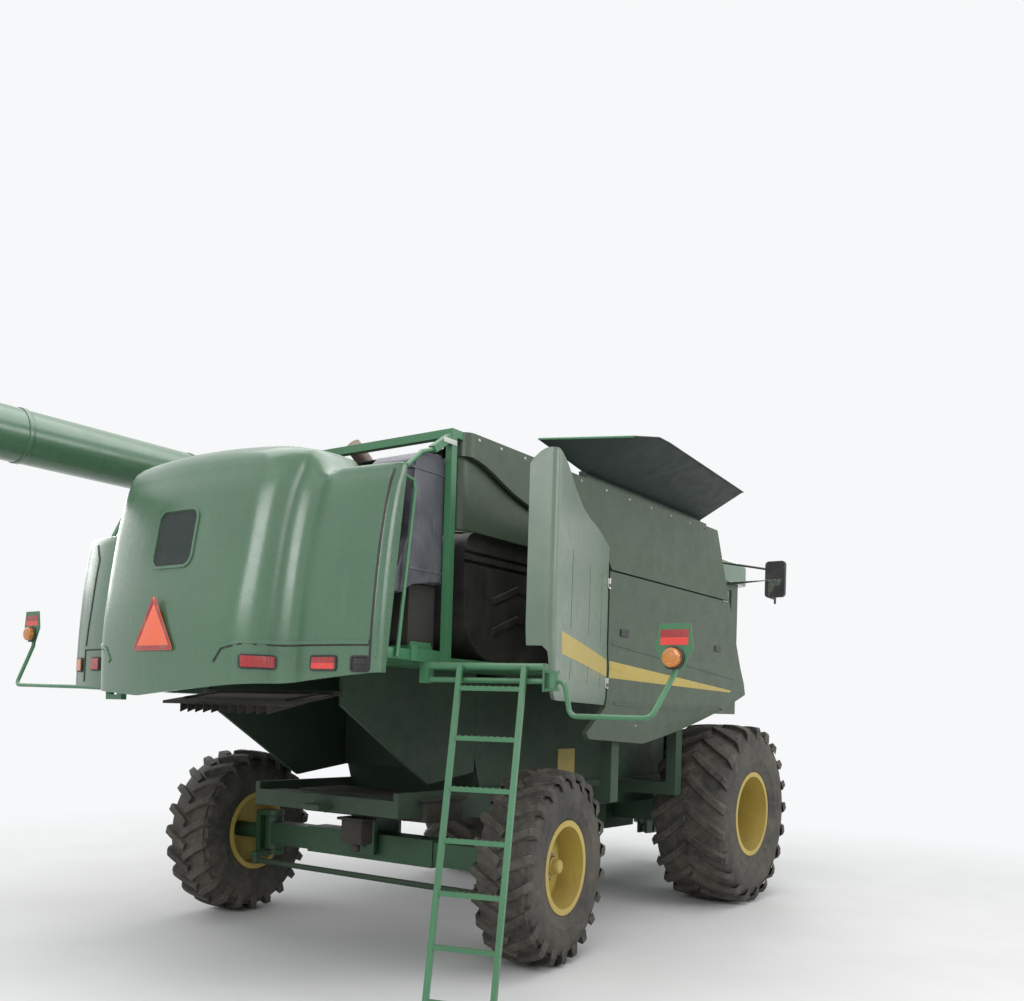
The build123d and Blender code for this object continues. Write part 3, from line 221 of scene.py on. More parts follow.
def tread_rubber():
    """Dusty tyre rubber, paler on the lugs' faces and where the soil stuck."""
    look = Look("tyre_rubber", Specular_IOR_Level=0.35)
    patches = look.ramp(look.noise(3.0, 9.0, 0.7, warp=0.4), 0.34, 0.74)
    soil = look.ramp(look.noise(14.0, 7.0, 0.7), 0.4, 0.75)
    film = look.math("ADD", look.math("MULTIPLY", patches, 0.38), look.math("MULTIPLY", soil, 0.28))
    tone = look.mix(film, (0.030, 0.029, 0.027), (0.20, 0.178, 0.138))
    edge = look.worn_edges(0.012, 0.01, 0.10)
    look.color(look.mix(look.math("MULTIPLY", edge, 0.55), tone, (0.22, 0.20, 0.16)))
    look.rough(look.ramp(film, 0.0, 0.7, 0.62, 0.92))
    cracks = look.add("ShaderNodeTexVoronoi", feature="DISTANCE_TO_EDGE")
    cracks.inputs["Scale"].default_value = 46.0
    look.join(look.place, cracks.inputs["Vector"])
    crack = look.ramp(cracks.outputs["Distance"], 0.0, 0.05)
    look.bump([(look.noise(22.0, 6.0, 0.7), 0.006), (crack, 0.0012), (look.noise(300.0, 2.0), 0.0006)], 0.4,
              0.008)
    return look.material


def black_rubber(name="rubber_black"):
    look = Look(name, Specular_IOR_Level=0.35)
    film = look.ramp(look.noise(6.0, 8.0, 0.7), 0.35, 0.8, 0.0, 0.45)
    look.color(look.mix(film, (0.016, 0.016, 0.016), (0.17, 0.15, 0.12)))
    look.rough(look.ramp(film, 0.0, 0.5, 0.5, 0.85))
    look.bump([(look.noise(30.0, 5.0, 0.6), 0.002), (look.noise(400.0, 2.0), 0.0005)], 0.35, 0.003)
    return look.material


def metal(name, base, rust=0.2, gloss=0.32, brushed=True):
    """Bare or plated steel with tarnish, stains and a brushed grain."""
    look = Look(name, Metallic=1.0)
    stain = look.ramp(look.noise(5.0, 8.0, 0.7, warp=0.4), 0.42, 0.78, 0.0, rust)
    tone = look.mix(look.noise(30.0, 3.0), base, tuple(c * 0.72 for c in base))
    look.color(look.mix(stain, tone, (0.20, 0.10, 0.05)))
    grain = look.noise(60.0, 4.0, 0.6, stretch=(1.0, 30.0, 30.0) if brushed else None)
    look.rough(look.math("ADD", look.math("MULTIPLY", stain, 0.8),
                         look.ramp(grain, 0.2, 0.8, gloss - 0.06, gloss + 0.12)))
    look.bump([(grain, 0.0004), (look.noise(14.0, 3.0), 0.001)], 0.25, 0.002)
    return look.material


def screen_metal():
    """Punched sheet: a grid of round holes drawn by height, their near-black centres a painted shade of the
    dark behind them.
    """
    look = Look("punched_sheet", Metallic=0.85)
    cells = look.add("ShaderNodeTexVoronoi")
    cells.inputs["Scale"].default_value = 70.0
    cells.inputs["Randomness"].default_value = 0.0
    look.join(look.stretched((1.0, 0.02, 1.0)), cells.inputs["Vector"])
    hole = look.ramp(cells.outputs["Distance"], 0.24, 0.32)
    dirt = look.ramp(look.noise(5.0, 7.0, 0.7), 0.4, 0.75, 0.0, 0.5)
    sheet = look.mix(dirt, (0.34, 0.34, 0.33), DUST)
    # Near-black in the holes: painted shade
    look.color(look.mix(hole, (0.01, 0.01, 0.01), sheet))
    look.rough(look.ramp(dirt, 0.0, 0.5, 0.4, 0.8))
    look.bump([(hole, 0.003), (look.noise(40.0, 3.0), 0.001)], 0.5, 0.002)
    return look.material


def lens(name, base, glow):
    """Moulded lens with prism ribs inside it."""
    look = Look(name, Transmission_Weight=0.25, Coat_Weight=0.6, Coat_Roughness=0.08, IOR=1.49)
    ribs = look.add("ShaderNodeTexWave", wave_type="BANDS", bands_direction="Y")
    ribs.inputs["Scale"].default_value = 46.0
    look.join(look.place, ribs.inputs["Vector"])
    film = look.ramp(look.noise(9.0, 7.0, 0.7), 0.42, 0.8, 0.0, 0.35)
    tone = look.mix(look.ramp(ribs.outputs["Fac"], 0.1, 0.9), base, glow)
    look.color(look.mix(film, tone, PALE_DUST))
    look.rough(look.ramp(film, 0.0, 0.4, 0.16, 0.6))
    look.bump([(ribs.outputs["Fac"], 0.0012), (look.noise(60.0, 3.0), 0.0005)], 0.35)
    return look.material


def reflective(name, base, cell):
    """Reflective sheet with its honeycomb of cells."""
    look = Look(name, Coat_Weight=0.5, Coat_Roughness=0.12)
    cells = look.add("ShaderNodeTexVoronoi", feature="DISTANCE_TO_EDGE")
    cells.inputs["Scale"].default_value = 210.0
    cells.inputs["Randomness"].default_value = 0.15
    look.join(look.place, cells.inputs["Vector"])
    edge = look.ramp(cells.outputs["Distance"], 0.02, 0.10)
    film = look.ramp(look.noise(7.0, 7.0, 0.7), 0.45, 0.8, 0.0, 0.3)
    look.color(look.mix(film, look.mix(edge, cell, base), PALE_DUST))
    look.rough(look.ramp(film, 0.0, 0.3, 0.28, 0.65))
    look.bump([(edge, 0.0003), (look.noise(12.0, 2.0), 0.001)], 0.3)
    return look.material


def glass():
    look = Look("cab_pane", Transmission_Weight=0.92, IOR=1.45, Specular_IOR_Level=0.5)
    film = look.ramp(look.noise(3.5, 8.0, 0.7), 0.4, 0.8, 0.0, 0.5)
    wipe = look.ramp(look.noise(1.0, 4.0, 0.6, stretch=(10.0, 10.0, 0.8)), 0.5, 0.8, 0.0, 0.3)
    film = look.math("MAXIMUM", film, wipe)
    look.color(look.mix(film, (0.55, 0.66, 0.62), (0.62, 0.60, 0.54)))
    look.rough(look.ramp(film, 0.0, 0.5, 0.03, 0.4))
    look.bump([(look.noise(2.0, 2.0), 0.0008)], 0.15)
    return look.material


def fabric(name, base, light):
    """Woven seat cloth: two crossed sets of threads with a slight nap."""
    look = Look(name, Sheen_Weight=0.35, Sheen_Roughness=0.5)
    warp = look.add("ShaderNodeTexWave", wave_type="BANDS", bands_direction="X")
    weft = look.add("ShaderNodeTexWave", wave_type="BANDS", bands_direction="Y")
    for thread in (warp, weft):
        thread.inputs["Scale"].default_value = 190.0
        thread.inputs["Distortion"].default_value = 0.6
        look.join(look.place, thread.inputs["Vector"])
    weave = look.math("MULTIPLY", warp.outputs["Fac"], weft.outputs["Fac"])
    worn = look.ramp(look.noise(5.0, 7.0, 0.65), 0.35, 0.75)
    tone = look.mix(look.ramp(weave, 0.1, 0.8), base, light)
    look.color(look.mix(look.math("MULTIPLY", worn, 0.35), tone, DUST))
    look.rough(look.ramp(worn, 0.0, 1.0, 0.78, 0.95))
    look.bump([(weave, 0.0015), (look.noise(18.0, 4.0), 0.003)], 0.5)
    return look.material


GREEN = paint("green_hood", (0.037, 0.126, 0.056), (0.029, 0.102, 0.045), dust=0.30, streaks=0.12,
              gloss=0.17, coat=0.7, soil=(0.25, 0.29, 0.24))
SIDE = paint("green_side", (0.032, 0.066, 0.033), (0.027, 0.056, 0.029), dust=0.46, streaks=0.14,
             gloss=0.38, coat=0.15, soil=(0.145, 0.145, 0.115))
SHIELD = paint("green_shield", (0.070, 0.140, 0.086), (0.058, 0.116, 0.072), dust=0.46, streaks=0.12,
               gloss=0.26, coat=0.4, soil=(0.33, 0.335, 0.275))
# The green darkened for the frame, the separator, the chute, the cooler and other parts inside and under the
# machine: painted shade
SHADED_GREEN = paint("green_painted_shade", (0.020, 0.058, 0.028), (0.012, 0.034, 0.018), dust=0.42, streaks=0.3,
              gloss=0.5, coat=0.0, soil=(0.085, 0.085, 0.062))
BRIGHT = paint("green_bright", (0.040, 0.200, 0.085), (0.030, 0.150, 0.062), dust=0.26, streaks=0.15,
               gloss=0.3, worn=0.8, coat=0.3, soil=(0.22, 0.24, 0.18))
AXLE = paint("green_axle", (0.018, 0.088, 0.034), (0.012, 0.060, 0.024), dust=0.40, streaks=0.3, gloss=0.4,
             worn=0.5, coat=0.1, soil=(0.080, 0.082, 0.058))
# The green darkened nearly to black: painted shade on the undersides of the tank flaps and the corner sheet,
# which are seen from below, and in the emblem's recess
FLAP_SHADE = paint("green_flap_painted_shade", (0.009, 0.021, 0.018), (0.006, 0.016, 0.014), dust=0.22, streaks=0.15, gloss=0.5,
             coat=0.0, soil=(0.09, 0.10, 0.085))
YELLOW = paint("yellow_rim", (0.56, 0.43, 0.095), (0.46, 0.34, 0.070), dust=0.50, streaks=0.3, gloss=0.4,
               worn=0.6, coat=0.1, soil=(0.15, 0.115, 0.055))
STRIPE = paint("yellow_stripe", (0.46, 0.35, 0.065), (0.40, 0.30, 0.050), dust=0.25, streaks=0.12,
               gloss=0.35, coat=0.1, soil=(0.30, 0.27, 0.16), soften=0.0)
BLACK = paint("black_frame", (0.024, 0.024, 0.024), (0.014, 0.014, 0.014), dust=0.3, streaks=0.2, gloss=0.45,
              worn=0.6, coat=0.0, soil=(0.14, 0.13, 0.11))
# Near-black paint: real grime, and painted shade on the engine, the straw board, the duct's foot and the
# boxes over the rear axle, which sit inside and under the machine; the front hub caps use it too
GRIME_AND_SHADE = paint("grimy_steel_and_shade", (0.030, 0.028, 0.024), (0.014, 0.014, 0.012), dust=0.5, streaks=0.4, gloss=0.6,
              coat=0.0, soil=(0.09, 0.078, 0.058))
DUCT = plastic("duct_plastic", (0.085, 0.085, 0.104), (0.33, 0.325, 0.34), dust=0.34, gloss=0.28)
TANK = plastic("tank_plastic", (0.020, 0.018, 0.017), (0.085, 0.078, 0.066), dust=0.34, gloss=0.42,
               grain=300.0)
TRIM = plastic("trim_plastic", (0.020, 0.020, 0.021), (0.18, 0.17, 0.15), dust=0.22, gloss=0.4)
TYRE = tread_rubber()
RUBBER = black_rubber()
STEEL = metal("worn_steel", (0.55, 0.54, 0.52))
CHROME = metal("rod_chrome", (0.78, 0.78, 0.78), rust=0.04, gloss=0.12)
PIPE = metal("pipe_steel", (0.30, 0.26, 0.23), rust=0.7, gloss=0.45, brushed=False)
PUNCHED = screen_metal()
RED = lens("lens_red", (0.30, 0.010, 0.010), (0.62, 0.02, 0.018))
AMBER = lens("lens_amber", (0.55, 0.16, 0.015), (0.95, 0.36, 0.03))
CLEAR = lens("lens_clear", (0.50, 0.50, 0.48), (0.85, 0.85, 0.82))
ORANGE = reflective("sheet_orange", (0.95, 0.16, 0.05), (0.85, 0.11, 0.03))
DARK_RED = reflective("sheet_dark_red", (0.36, 0.02, 0.02), (0.25, 0.012, 0.012))
BRIGHT_RED = reflective("sheet_bright_red", (0.80, 0.05, 0.035), (0.65, 0.03, 0.02))
GLASS = glass()
CLOTH = fabric("seat_cloth", (0.035, 0.036, 0.038), (0.085, 0.086, 0.09))
PALE = paint("pale_label", (0.62, 0.63, 0.60), (0.55, 0.56, 0.53), dust=0.3, streaks=0.1, gloss=0.4, coat=0.0)
PLATE_YELLOW = paint("blank_plate", (0.46, 0.37, 0.10), (0.40, 0.31, 0.08), dust=0.4, streaks=0.3,
                     gloss=0.4, coat=0.0)

# The slot name of each look
SLOTS = {"green_paint": (GREEN, BRIGHT), "side_green": (SIDE, SHIELD, PALE), "dark_green": (FLAP_SHADE, GRIME_AND_SHADE),
         "yellow_paint": (STRIPE, PLATE_YELLOW), "black_paint": (BLACK,), "black_plastic": (DUCT, TRIM),
         "tyre": (TYRE,), "rubber": (RUBBER,), "steel": (STEEL,), "glass": (CHROME, CLEAR),
         "red_lens": (RED, DARK_RED, BRIGHT_RED), "amber_lens": (AMBER,), "orange_sign": (ORANGE,),
         "seat_fabric": (CLOTH,), }
SLOTS = {look: slot for slot, looks in SLOTS.items() for look in looks}


# Mesh helpers

def finish_piece(name, data, look, body="chassis", angle=34):
    soup = bmesh.new()
    soup.from_mesh(data)
    bmesh.ops.recalc_face_normals(soup, faces=soup.faces)
    soup.to_mesh(data)
    soup.free()
    data.materials.append(look)
    data.shade_smooth()
    data.set_sharp_from_angle(angle=math.radians(angle))
    piece = bpy.data.objects.new(name, data)
    bpy.context.scene.collection.objects.link(piece)
    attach(piece, body)
    return piece


class Build:
    """Gathers parts of one piece in a bmesh."""

    def __init__(self):
        self.soup = bmesh.new()

    def place(self, parts, matrix):
        bmesh.ops.transform(self.soup, matrix=matrix, verts=parts)
        return parts

    def box(self, low, high, bevel=0.0, segments=2, matrix=None):
        """A box between two corners with rounded edges."""
        size = [b - a for a, b in zip(low, high)]
        middle = [(a + b) / 2 for a, b in zip(low, high)]
        made = bmesh.ops.create_cube(self.soup, size=1.0)["verts"]
        bmesh.ops.scale(self.soup, vec=size, verts=made)
        bmesh.ops.translate(self.soup, vec=middle, verts=made)
        if bevel:
            edges = list({e for v in made for e in v.link_edges})
            done = bmesh.ops.bevel(self.soup, geom=edges, offset=bevel, segments=segments, affect="EDGES",
                                   profile=0.6)
            made = list({v for f in done["faces"] for v in f.verts} | {v for v in made if v.is_valid})
        if matrix:
            self.place(made, matrix)
        return made

    def lathe(self, profile, turns, matrix, closed=False):
        """(radius, along) points turned about local Z."""
        rings = []
        for step in range(turns):
            a = 2 * math.pi * step / turns
            rings.append([self.soup.verts.new(matrix @ Vector((r * math.cos(a), r * math.sin(a), h))) for r,
                          h in profile])
        count = len(profile)
        last = count if closed else count - 1
        for step in range(turns):
            here, after = rings[step], rings[(step + 1) % turns]
            for k in range(last):
                n = (k + 1) % count
                self.soup.faces.new((here[k], after[k], after[n], here[n]))
        if not closed:
            for k in (0, count - 1):
                if profile[k][0] > 1e-6:
                    self.soup.faces.new([ring[k] for ring in rings])
        return rings

    def prism(self, outline, depth, matrix, bevel=0.0):
        """An outline in local XY carried along local Z."""
        low = [self.soup.verts.new(Vector((x, y, 0.0))) for x, y in outline]
        high = [self.soup.verts.new(Vector((x, y, depth))) for x, y in outline]
        self.soup.faces.new(low)
        self.soup.faces.new(high)
        n = len(outline)
        for k in range(n):
            self.soup.faces.new((low[k], low[(k + 1) % n], high[(k + 1) % n], high[k]))
        made = low + high
        if bevel:
            edges = list({e for v in made for e in v.link_edges})
            done = bmesh.ops.bevel(self.soup, geom=edges, offset=bevel, segments=2, affect="EDGES",
                                   profile=0.6)
            made = list({v for f in done["faces"] for v in f.verts} | {v for v in made if v.is_valid})
        self.place(made, matrix)
        return made

    def tube(self, points, radius, sides=12, caps=True):
        """A round tube through points, with each joint mitred."""
        points = [Vector(p) for p in points]
        rings = []
        up = Vector((0, 0, 1))
        for k, p in enumerate(points):
            before = (p - points[k - 1]).normalized() if k else (points[1] - p).normalized()
            after = (points[k + 1] - p).normalized() if k + 1 < len(points) else before
            along = (before + after).normalized()
            if k == 0:
                side = along.cross(up if abs(along.z) < 0.9 else Vector((1, 0, 0))).normalized()
            else:
                side = (side - along * side.dot(along)).normalized()
            other = along.cross(side)
            r = radius[k] if isinstance(radius, (list, tuple)) else radius
            rings.append([self.soup.verts.new(p + (side * math.cos(a) + other * math.sin(a)) * r)
                          for a in (2 * math.pi * s / sides for s in range(sides))])
        for a, b in zip(rings, rings[1:]):
            for s in range(sides):
                self.soup.faces.new((a[s], a[(s + 1) % sides], b[(s + 1) % sides], b[s]))
        if caps:
            self.soup.faces.new(rings[0])
            self.soup.faces.new(rings[-1])

    def bolt(self, matrix, size=0.018):
        """A hexagon head on its washer, standing on local Z."""
        hexagon = [(size * 0.55 * math.cos(math.pi * k / 3), size * 0.55 * math.sin(math.pi * k / 3))
                   for k in range(6)]
        self.lathe([(size * 0.85, 0.0), (size * 0.85, size * 0.10), (size * 0.5, size * 0.12)], 14, matrix)
        self.prism(hexagon, size * 0.45, matrix @ Matrix.Translation((0, 0, size * 0.08)), bevel=size * 0.06)

    def done(self, name, look, body="chassis", slot=None, angle=34):
        data = bpy.data.meshes.new(name)
        self.soup.to_mesh(data)
        self.soup.free()
        return finish_piece(name, data, look, body, angle)


def frame_at(origin, z, x=(0, 0, 1)):
    """A matrix with its Z along a direction and its X near another."""
    z = Vector(z).normalized()
    x = Vector(x)
    x = (x - z * x.dot(z))
    x = x.normalized() if x.length > 1e-6 else z.orthogonal().normalized()
    y = z.cross(x)
    turn = Matrix((x, y, z)).transposed().to_4x4()
    return Matrix.Translation(Vector(origin)) @ turn


def at(x, y, z):
    """A point given by its station ahead of the front axle."""
    return (AHEAD + x, y, z)


def arc(centre, radius, start, end, steps):
    """Points of an arc in a plane, angles in degrees."""
    span = [math.radians(start + (end - start) * k / steps) for k in range(steps + 1)]
    return [(centre[0] + radius * math.cos(a), centre[1] + radius * math.sin(a)) for a in span]


def circle(radius, count):
    """Evenly spaced points on a circle about the origin."""
    return arc((0, 0), radius, 0, 360, count)[:-1]


# Tyres

FRONT_TYRE = dict(radius=0.915, width=0.775, rim=0.407, rim_half=0.343, flange=0.430, lugs=21, sign=1,
                  stout=1.0)
REAR_TYRE = dict(radius=0.735, width=0.467, rim=0.331, rim_half=0.203, flange=0.354, lugs=22, sign=-1,
                 stout=0.82)
LUG = 0.042
FLANGE_WALL = 0.020


def wheel_matrix(end, side):
    """The wheel's own frame: its origin at the hub and Y along the axle."""
    if end == "front":
        return Matrix.Translation((AHEAD, side * 1.530, FRONT_TYRE["radius"]))
    pin = Matrix.Translation((AHEAD - 3.662, side * 1.250, REAR_TYRE["radius"]))
    return pin @ Matrix.Rotation(math.radians(6.9), 4, "Z") @ Matrix.Translation((0, side * 0.400, 0))


def casing_profile(size):
    """Half of the casing below the lugs: (across, radius) from the bead to the middle."""
    half = size["width"] / 2
    bead, top = size["flange"] + 0.0003, size["radius"] - LUG
    seat = size["rim_half"] - FLANGE_WALL
    tall = top - bead
    rows = [(seat, size["rim"] + 0.001), (seat, bead), (seat + 0.014, bead + 0.004),
            (seat + 0.024, bead + 0.020)]
    rows += [(half * 0.90, bead + tall * 0.14), (half - 0.014, bead + tall * 0.26),
             (half - 0.010, bead + tall * 0.29)]
    rows += [(half - 0.012, bead + tall * 0.32), (half - 0.004, bead + tall * 0.46),
             (half - 0.006, bead + tall * 0.60)]
    rows += [(half - 0.012, bead + tall * 0.72), (half - 0.026, bead + tall * 0.84),
             (half - 0.052, top - 0.040)]
    rows += [(half * 0.78, top - 0.020), (half * 0.5, top - 0.008), (half * 0.25, top - 0.002), (0.0, top)]
    return rows


def surface_radius(size, across):
    """The casing's radius under a lug at a distance from the middle."""
    half = size["width"] / 2
    share = min(1.0, abs(across) / half)
    return size["radius"] - LUG - 0.034 * share ** 3.2


CASING_TURNS, LUG_STEPS = 72, 9
# How far the crest and the root of a lug lie below the tread's top, where it wraps down the shoulder
SHOULDER_CREST, SHOULDER_ROOT, SHOULDER_SHARE = 0.058, 0.14, 0.92


def lug_rows(size, hand, start):
    """Rows of four points across one lug, from the middle of the tread to its shoulder."""
    half, tip, sign = size["width"] / 2, size["radius"], size["sign"]
    rows = []
    for k in range(LUG_STEPS + 1):
        s = k / LUG_STEPS
        across = hand * (-0.012 + (half + 0.004) * min(1.0, s * 1.06))
        angle = start + sign * (0.44 * half / 0.388) * (s ** 0.86) * 0.80
        wide = (0.030 + 0.008 * s) * size["stout"]
        low = surface_radius(size, across) - 0.006
        crest = tip - 0.030 * s ** 3.0
        if s > SHOULDER_SHARE:
            crest, low = tip - SHOULDER_CREST, tip - SHOULDER_ROOT
            across = hand * (half - 0.004)
        row = []
        for offset, radius in ((-wide * 1.35, low), (-wide * 0.9, crest), (wide * 0.9, crest),
                               (wide * 1.35, low)):
            a = angle + offset / tip
            skew = -offset * 0.45 * sign * hand * (1 - s * 0.6)
            row.append(Vector((radius * math.cos(a), across + skew, radius * math.sin(a))))
        rows.append(row)
    return rows


def tyre_piece(end, side):
    size = FRONT_TYRE if end == "front" else REAR_TYRE
    name = "right" if side < 0 else "left"
    matrix = wheel_matrix(end, side)
    build = Build()
    rows = casing_profile(size)
    profile = [(r, -y) for y, r in rows] + [(r, y) for y, r in reversed(rows[:-1])]
    axle = Matrix(((1, 0, 0, 0), (0, 0, 1, 0), (0, -1, 0, 0), (0, 0, 0, 1)))
    build.lathe(profile, CASING_TURNS, matrix @ axle, closed=True)
    pitch = 2 * math.pi / size["lugs"]
    for hand, shift in ((-1, 0.0), (1, 0.5)):
        for number in range(size["lugs"]):
            rows = lug_rows(size, hand, pitch * (number + shift))
            rings = [[build.soup.verts.new(matrix @ point) for point in row] for row in rows]
            for a, b in zip(rings, rings[1:]):
                for c in range(3):
                    build.soup.faces.new((a[c], a[c + 1], b[c + 1], b[c]))
            build.soup.faces.new(rings[0])
            build.soup.faces.new(rings[-1])
    piece = build.done(f"{end}_tyre_treaded_{name}", TYRE, f"{end}_wheel_{name}", angle=28)
    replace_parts(piece, f"{end}_tyre_{name}")


for end in ("front", "rear"):
    for side in (-1, 1):
        tyre_piece(end, side)


# Hood, side panels, shields, duct and flaps

def arc3(a, b, c, steps):
    """Points from a to c on the circle through a, b and c, without the last."""
    (ax, ay), (bx, by), (cx, cy) = a, b, c
    d = 2 * (ax * (by - cy) + bx * (cy - ay) + cx * (ay - by))
    if abs(d) < 1e-9:
        return [(ax + (cx - ax) * k / steps, ay + (cy - ay) * k / steps) for k in range(steps)]
    sa, sb, sc = ax * ax + ay * ay, bx * bx + by * by, cx * cx + cy * cy
    ox = (sa * (by - cy) + sb * (cy - ay) + sc * (ay - by)) / d
    oy = (sa * (cx - bx) + sb * (ax - cx) + sc * (bx - ax)) / d
    start, middle, end = (math.atan2(q - oy, p - ox) for p, q in (a, b, c))
    full = 2 * math.pi
    if (middle - start) % full > (end - start) % full:
        sweep = (end - start) % full - full
    else:
        sweep = (end - start) % full
    r = math.hypot(ax - ox, ay - oy)
    return [(ox + r * math.cos(start + sweep * k / steps), oy + r * math.sin(start + sweep * k / steps))
            for k in range(steps)]


def smooth(t):
    t = min(1.0, max(0.0, t))
    return t * t * (3 - 2 * t)


def catmull(rows, z):
    """Values between rows of (z, value, ...) on a smooth curve."""
    last = len(rows) - 1
    k = max(0, min(last - 1, sum(1 for r in rows if r[0] <= z) - 1))
    a, b = rows[k], rows[k + 1]
    before, after = rows[max(0, k - 1)], rows[min(last, k + 2)]
    t = min(1.0, max(0.0, (z - a[0]) / (b[0] - a[0])))
    span = b[0] - a[0]
    found = []
    for i in range(1, len(a)):
        m0 = (b[i] - before[i]) / (b[0] - before[0]) * span
        m1 = (after[i] - a[i]) / (after[0] - a[0]) * span
        found.append((2 * t ** 3 - 3 * t * t + 1) * a[i] + (t ** 3 - 2 * t * t + t) * m0
                     + (3 * t * t - 2 * t ** 3) * b[i] + (t ** 3 - t * t) * m1)
    return found


def grid_piece(name, rows, look, body, wall, inward, angle):
    """A sheet over rows of points, given a wall on its inner side."""
    verts = [Vector(at(x, y, z)) for row in rows for x, y, z in row]
    wide = len(rows[0])
    faces = []
    for j in range(len(rows) - 1):
        for i in range(wide - 1):
            a = j * wide + i
            faces.append((a, a + 1, a + wide + 1, a + wide))
    data = bpy.data.meshes.new(name)
    data.from_pydata(verts, [], faces)
    soup = bmesh.new()
    soup.from_mesh(data)
    bmesh.ops.remove_doubles(soup, verts=soup.verts, dist=0.0004)
    bmesh.ops.dissolve_degenerate(soup, dist=0.0003, edges=soup.edges)
    soup.normal_update()
    centre = Vector(at(*inward))
    facing = sum(f.normal.dot(f.calc_center_median() - centre) * f.calc_area() for f in soup.faces)
    if facing < 0:
        bmesh.ops.reverse_faces(soup, faces=soup.faces)
    soup.normal_update()
    if wall:
        outer = set(soup.faces)
        copy = bmesh.ops.duplicate(soup, geom=soup.verts[:] + soup.edges[:] + soup.faces[:])
        twin = copy["vert_map"]
        points = {v for f in outer for v in f.verts}
        rim = [e for e in soup.edges if len(e.link_faces) == 1 and e.link_faces[0] in outer]
        for v in points:
            twin[v].co = v.co - v.normal * wall
        inner = [f for f in copy["geom"] if isinstance(f, bmesh.types.BMFace)]
        bmesh.ops.reverse_faces(soup, faces=inner)
        for e in rim:
            a, b = e.verts
            soup.faces.new((a, b, twin[b], twin[a]))
    soup.to_mesh(data)
    soup.free()
    return finish_piece(name, data, look, body, angle=angle)


# Columns: height, how far back the bulge, the corner and the valley reach, and the valley's distance
HOOD_FRONT = -4.985
HOOD_LEVELS = ((1.900, -0.925, -0.515, -0.575, 0.915), (2.380, -0.925, -0.505, -0.565, 0.920),
               (2.930, -0.845, -0.455, -0.505, 0.930), (3.300, -0.775, -0.385, -0.425, 0.940),
               (3.450, -0.722, -0.325, -0.365, 0.950))
HOOD_HALF = 1.600
WING_TOP = {-1: 3.405, 1: 3.130}
BULGE_TOP = 3.450
LOW_EDGE = ((-1.650, 2.112), (-0.950, 2.032), (0.200, 1.926), (1.650, 2.010))


def hood_edge(z):
    """The station of the hood sides' leaning front edge."""
    return -5.238 - 0.152 * (3.450 - z) / 1.360


def hood_plan(z):
    """Half of the hood's outline at a height, from the side wall to the middle, as (station, distance)."""
    centre, corner, valley, vy = catmull(HOOD_LEVELS, z)
    xc, xk, xv = HOOD_FRONT + centre, HOOD_FRONT + corner, HOOD_FRONT + valley
    s, r = HOOD_HALF, 0.07
    flank = (xc + 0.06, vy - 0.265)
    shoulder = ((xv - 0.08 + flank[0]) / 2 - 0.033, (vy - 0.07 + flank[1]) / 2 + 0.03)
    stops = [(xk + r, s), (xk + 0.29 * r, s - 0.29 * r), (xk, s - r),
             ((xk + xv) / 2 - 0.022, (vy + 0.09 + s - r) / 2), (xv, vy + 0.09), (xv - 0.016, vy),
             (xv - 0.08, vy - 0.07), shoulder, flank]
    front = hood_edge(z)
    points = [(front + (xk + r - front) * k / 6, s) for k in range(6)]
    for start, steps in ((0, 7), (2, 16), (4, 8), (6, 12)):
        points += arc3(*stops[start:start + 3], steps)
    points += arc3(flank, (xc, 0.0), (flank[0], -flank[1]), 36)[:18]
    return points + [(xc, 0.0)]


def straight(table, at):
    """A value between the rows of a two-column table."""
    for (a, va), (b, vb) in zip(table, table[1:]):
        if at <= b:
            return va + (vb - va) * (at - a) / (b - a)
    return table[-1][1]


HOOD_STEPS = 44
HOOD_FOOT, HOOD_TALL = 1.90, 1.55
plans = [hood_plan(HOOD_FOOT + HOOD_TALL * k / HOOD_STEPS) for k in range(HOOD_STEPS + 1)]
HALF_COUNT = len(plans[0])


def plan_point(index, z):
    place = min(HOOD_STEPS - 0.001, max(0.0, (z - HOOD_FOOT) / HOOD_TALL * HOOD_STEPS))
    low = int(place)
    a, b = plans[low][index], plans[low + 1][index]
    part = place - low
    return a[0] + (b[0] - a[0]) * part, a[1] + (b[1] - a[1]) * part


# Share of the way to the front edge and of the rise, over the wings and over the bulge
WING_ROOF = ((0.0, 0.0), (0.05, 0.45), (0.16, 0.82), (0.34, 0.97), (0.62, 1.0), (0.85, 1.0), (1.0, 1.0))
BULGE_ROOF = ((0.025, 0.30), (0.075, 0.58), (0.15, 0.80), (0.25, 0.93), (0.42, 1.0), (0.70, 1.02),
              (1.0, 0.98))


def hood_rows():
    columns = [(-1, i) for i in range(HALF_COUNT)] + [(1, i) for i in range(HALF_COUNT - 2, -1, -1)]
    bottom = []
    for side, i in columns:
        y = side * plan_point(i, 2.9)[1]
        bulge = 1.0 - smooth((abs(y) - 0.85) / 0.17)
        top = WING_TOP[side] + (BULGE_TOP - WING_TOP[side]) * bulge
        bottom.append((side, i, y, bulge, straight(LOW_EDGE, y), top))
    rows = []
    for k in range(31):
        row = []
        for side, i, y, bulge, low, top in bottom:
            z = low + (top - low) * k / 30
            x, across = plan_point(i, z)
            row.append((x, side * across, z))
        rows.append(row)
    rim = rows[-1]
    for (wf, wg), (bf, bg) in zip(WING_ROOF, BULGE_ROOF):
        row = []
        for (side, i, y, bulge, low, top), (x, across, z) in zip(bottom, rim):
            front = HOOD_FRONT if abs(across) < 1.13 else -5.238
            front += (-5.238 - HOOD_FRONT) * smooth((abs(across)
                                                     - 1.06) / 0.07) if abs(across) < 1.13 else 0.0
            share = wf + (bf - wf) * bulge
            rise = (wg * 0.045) * (1 - bulge) + (bg * 0.205) * bulge * (1.0 - 0.25 * (across / 0.95) ** 2)
            row.append((x + (front - x) * share, across, z + rise))
        rows.append(row)
    return rows


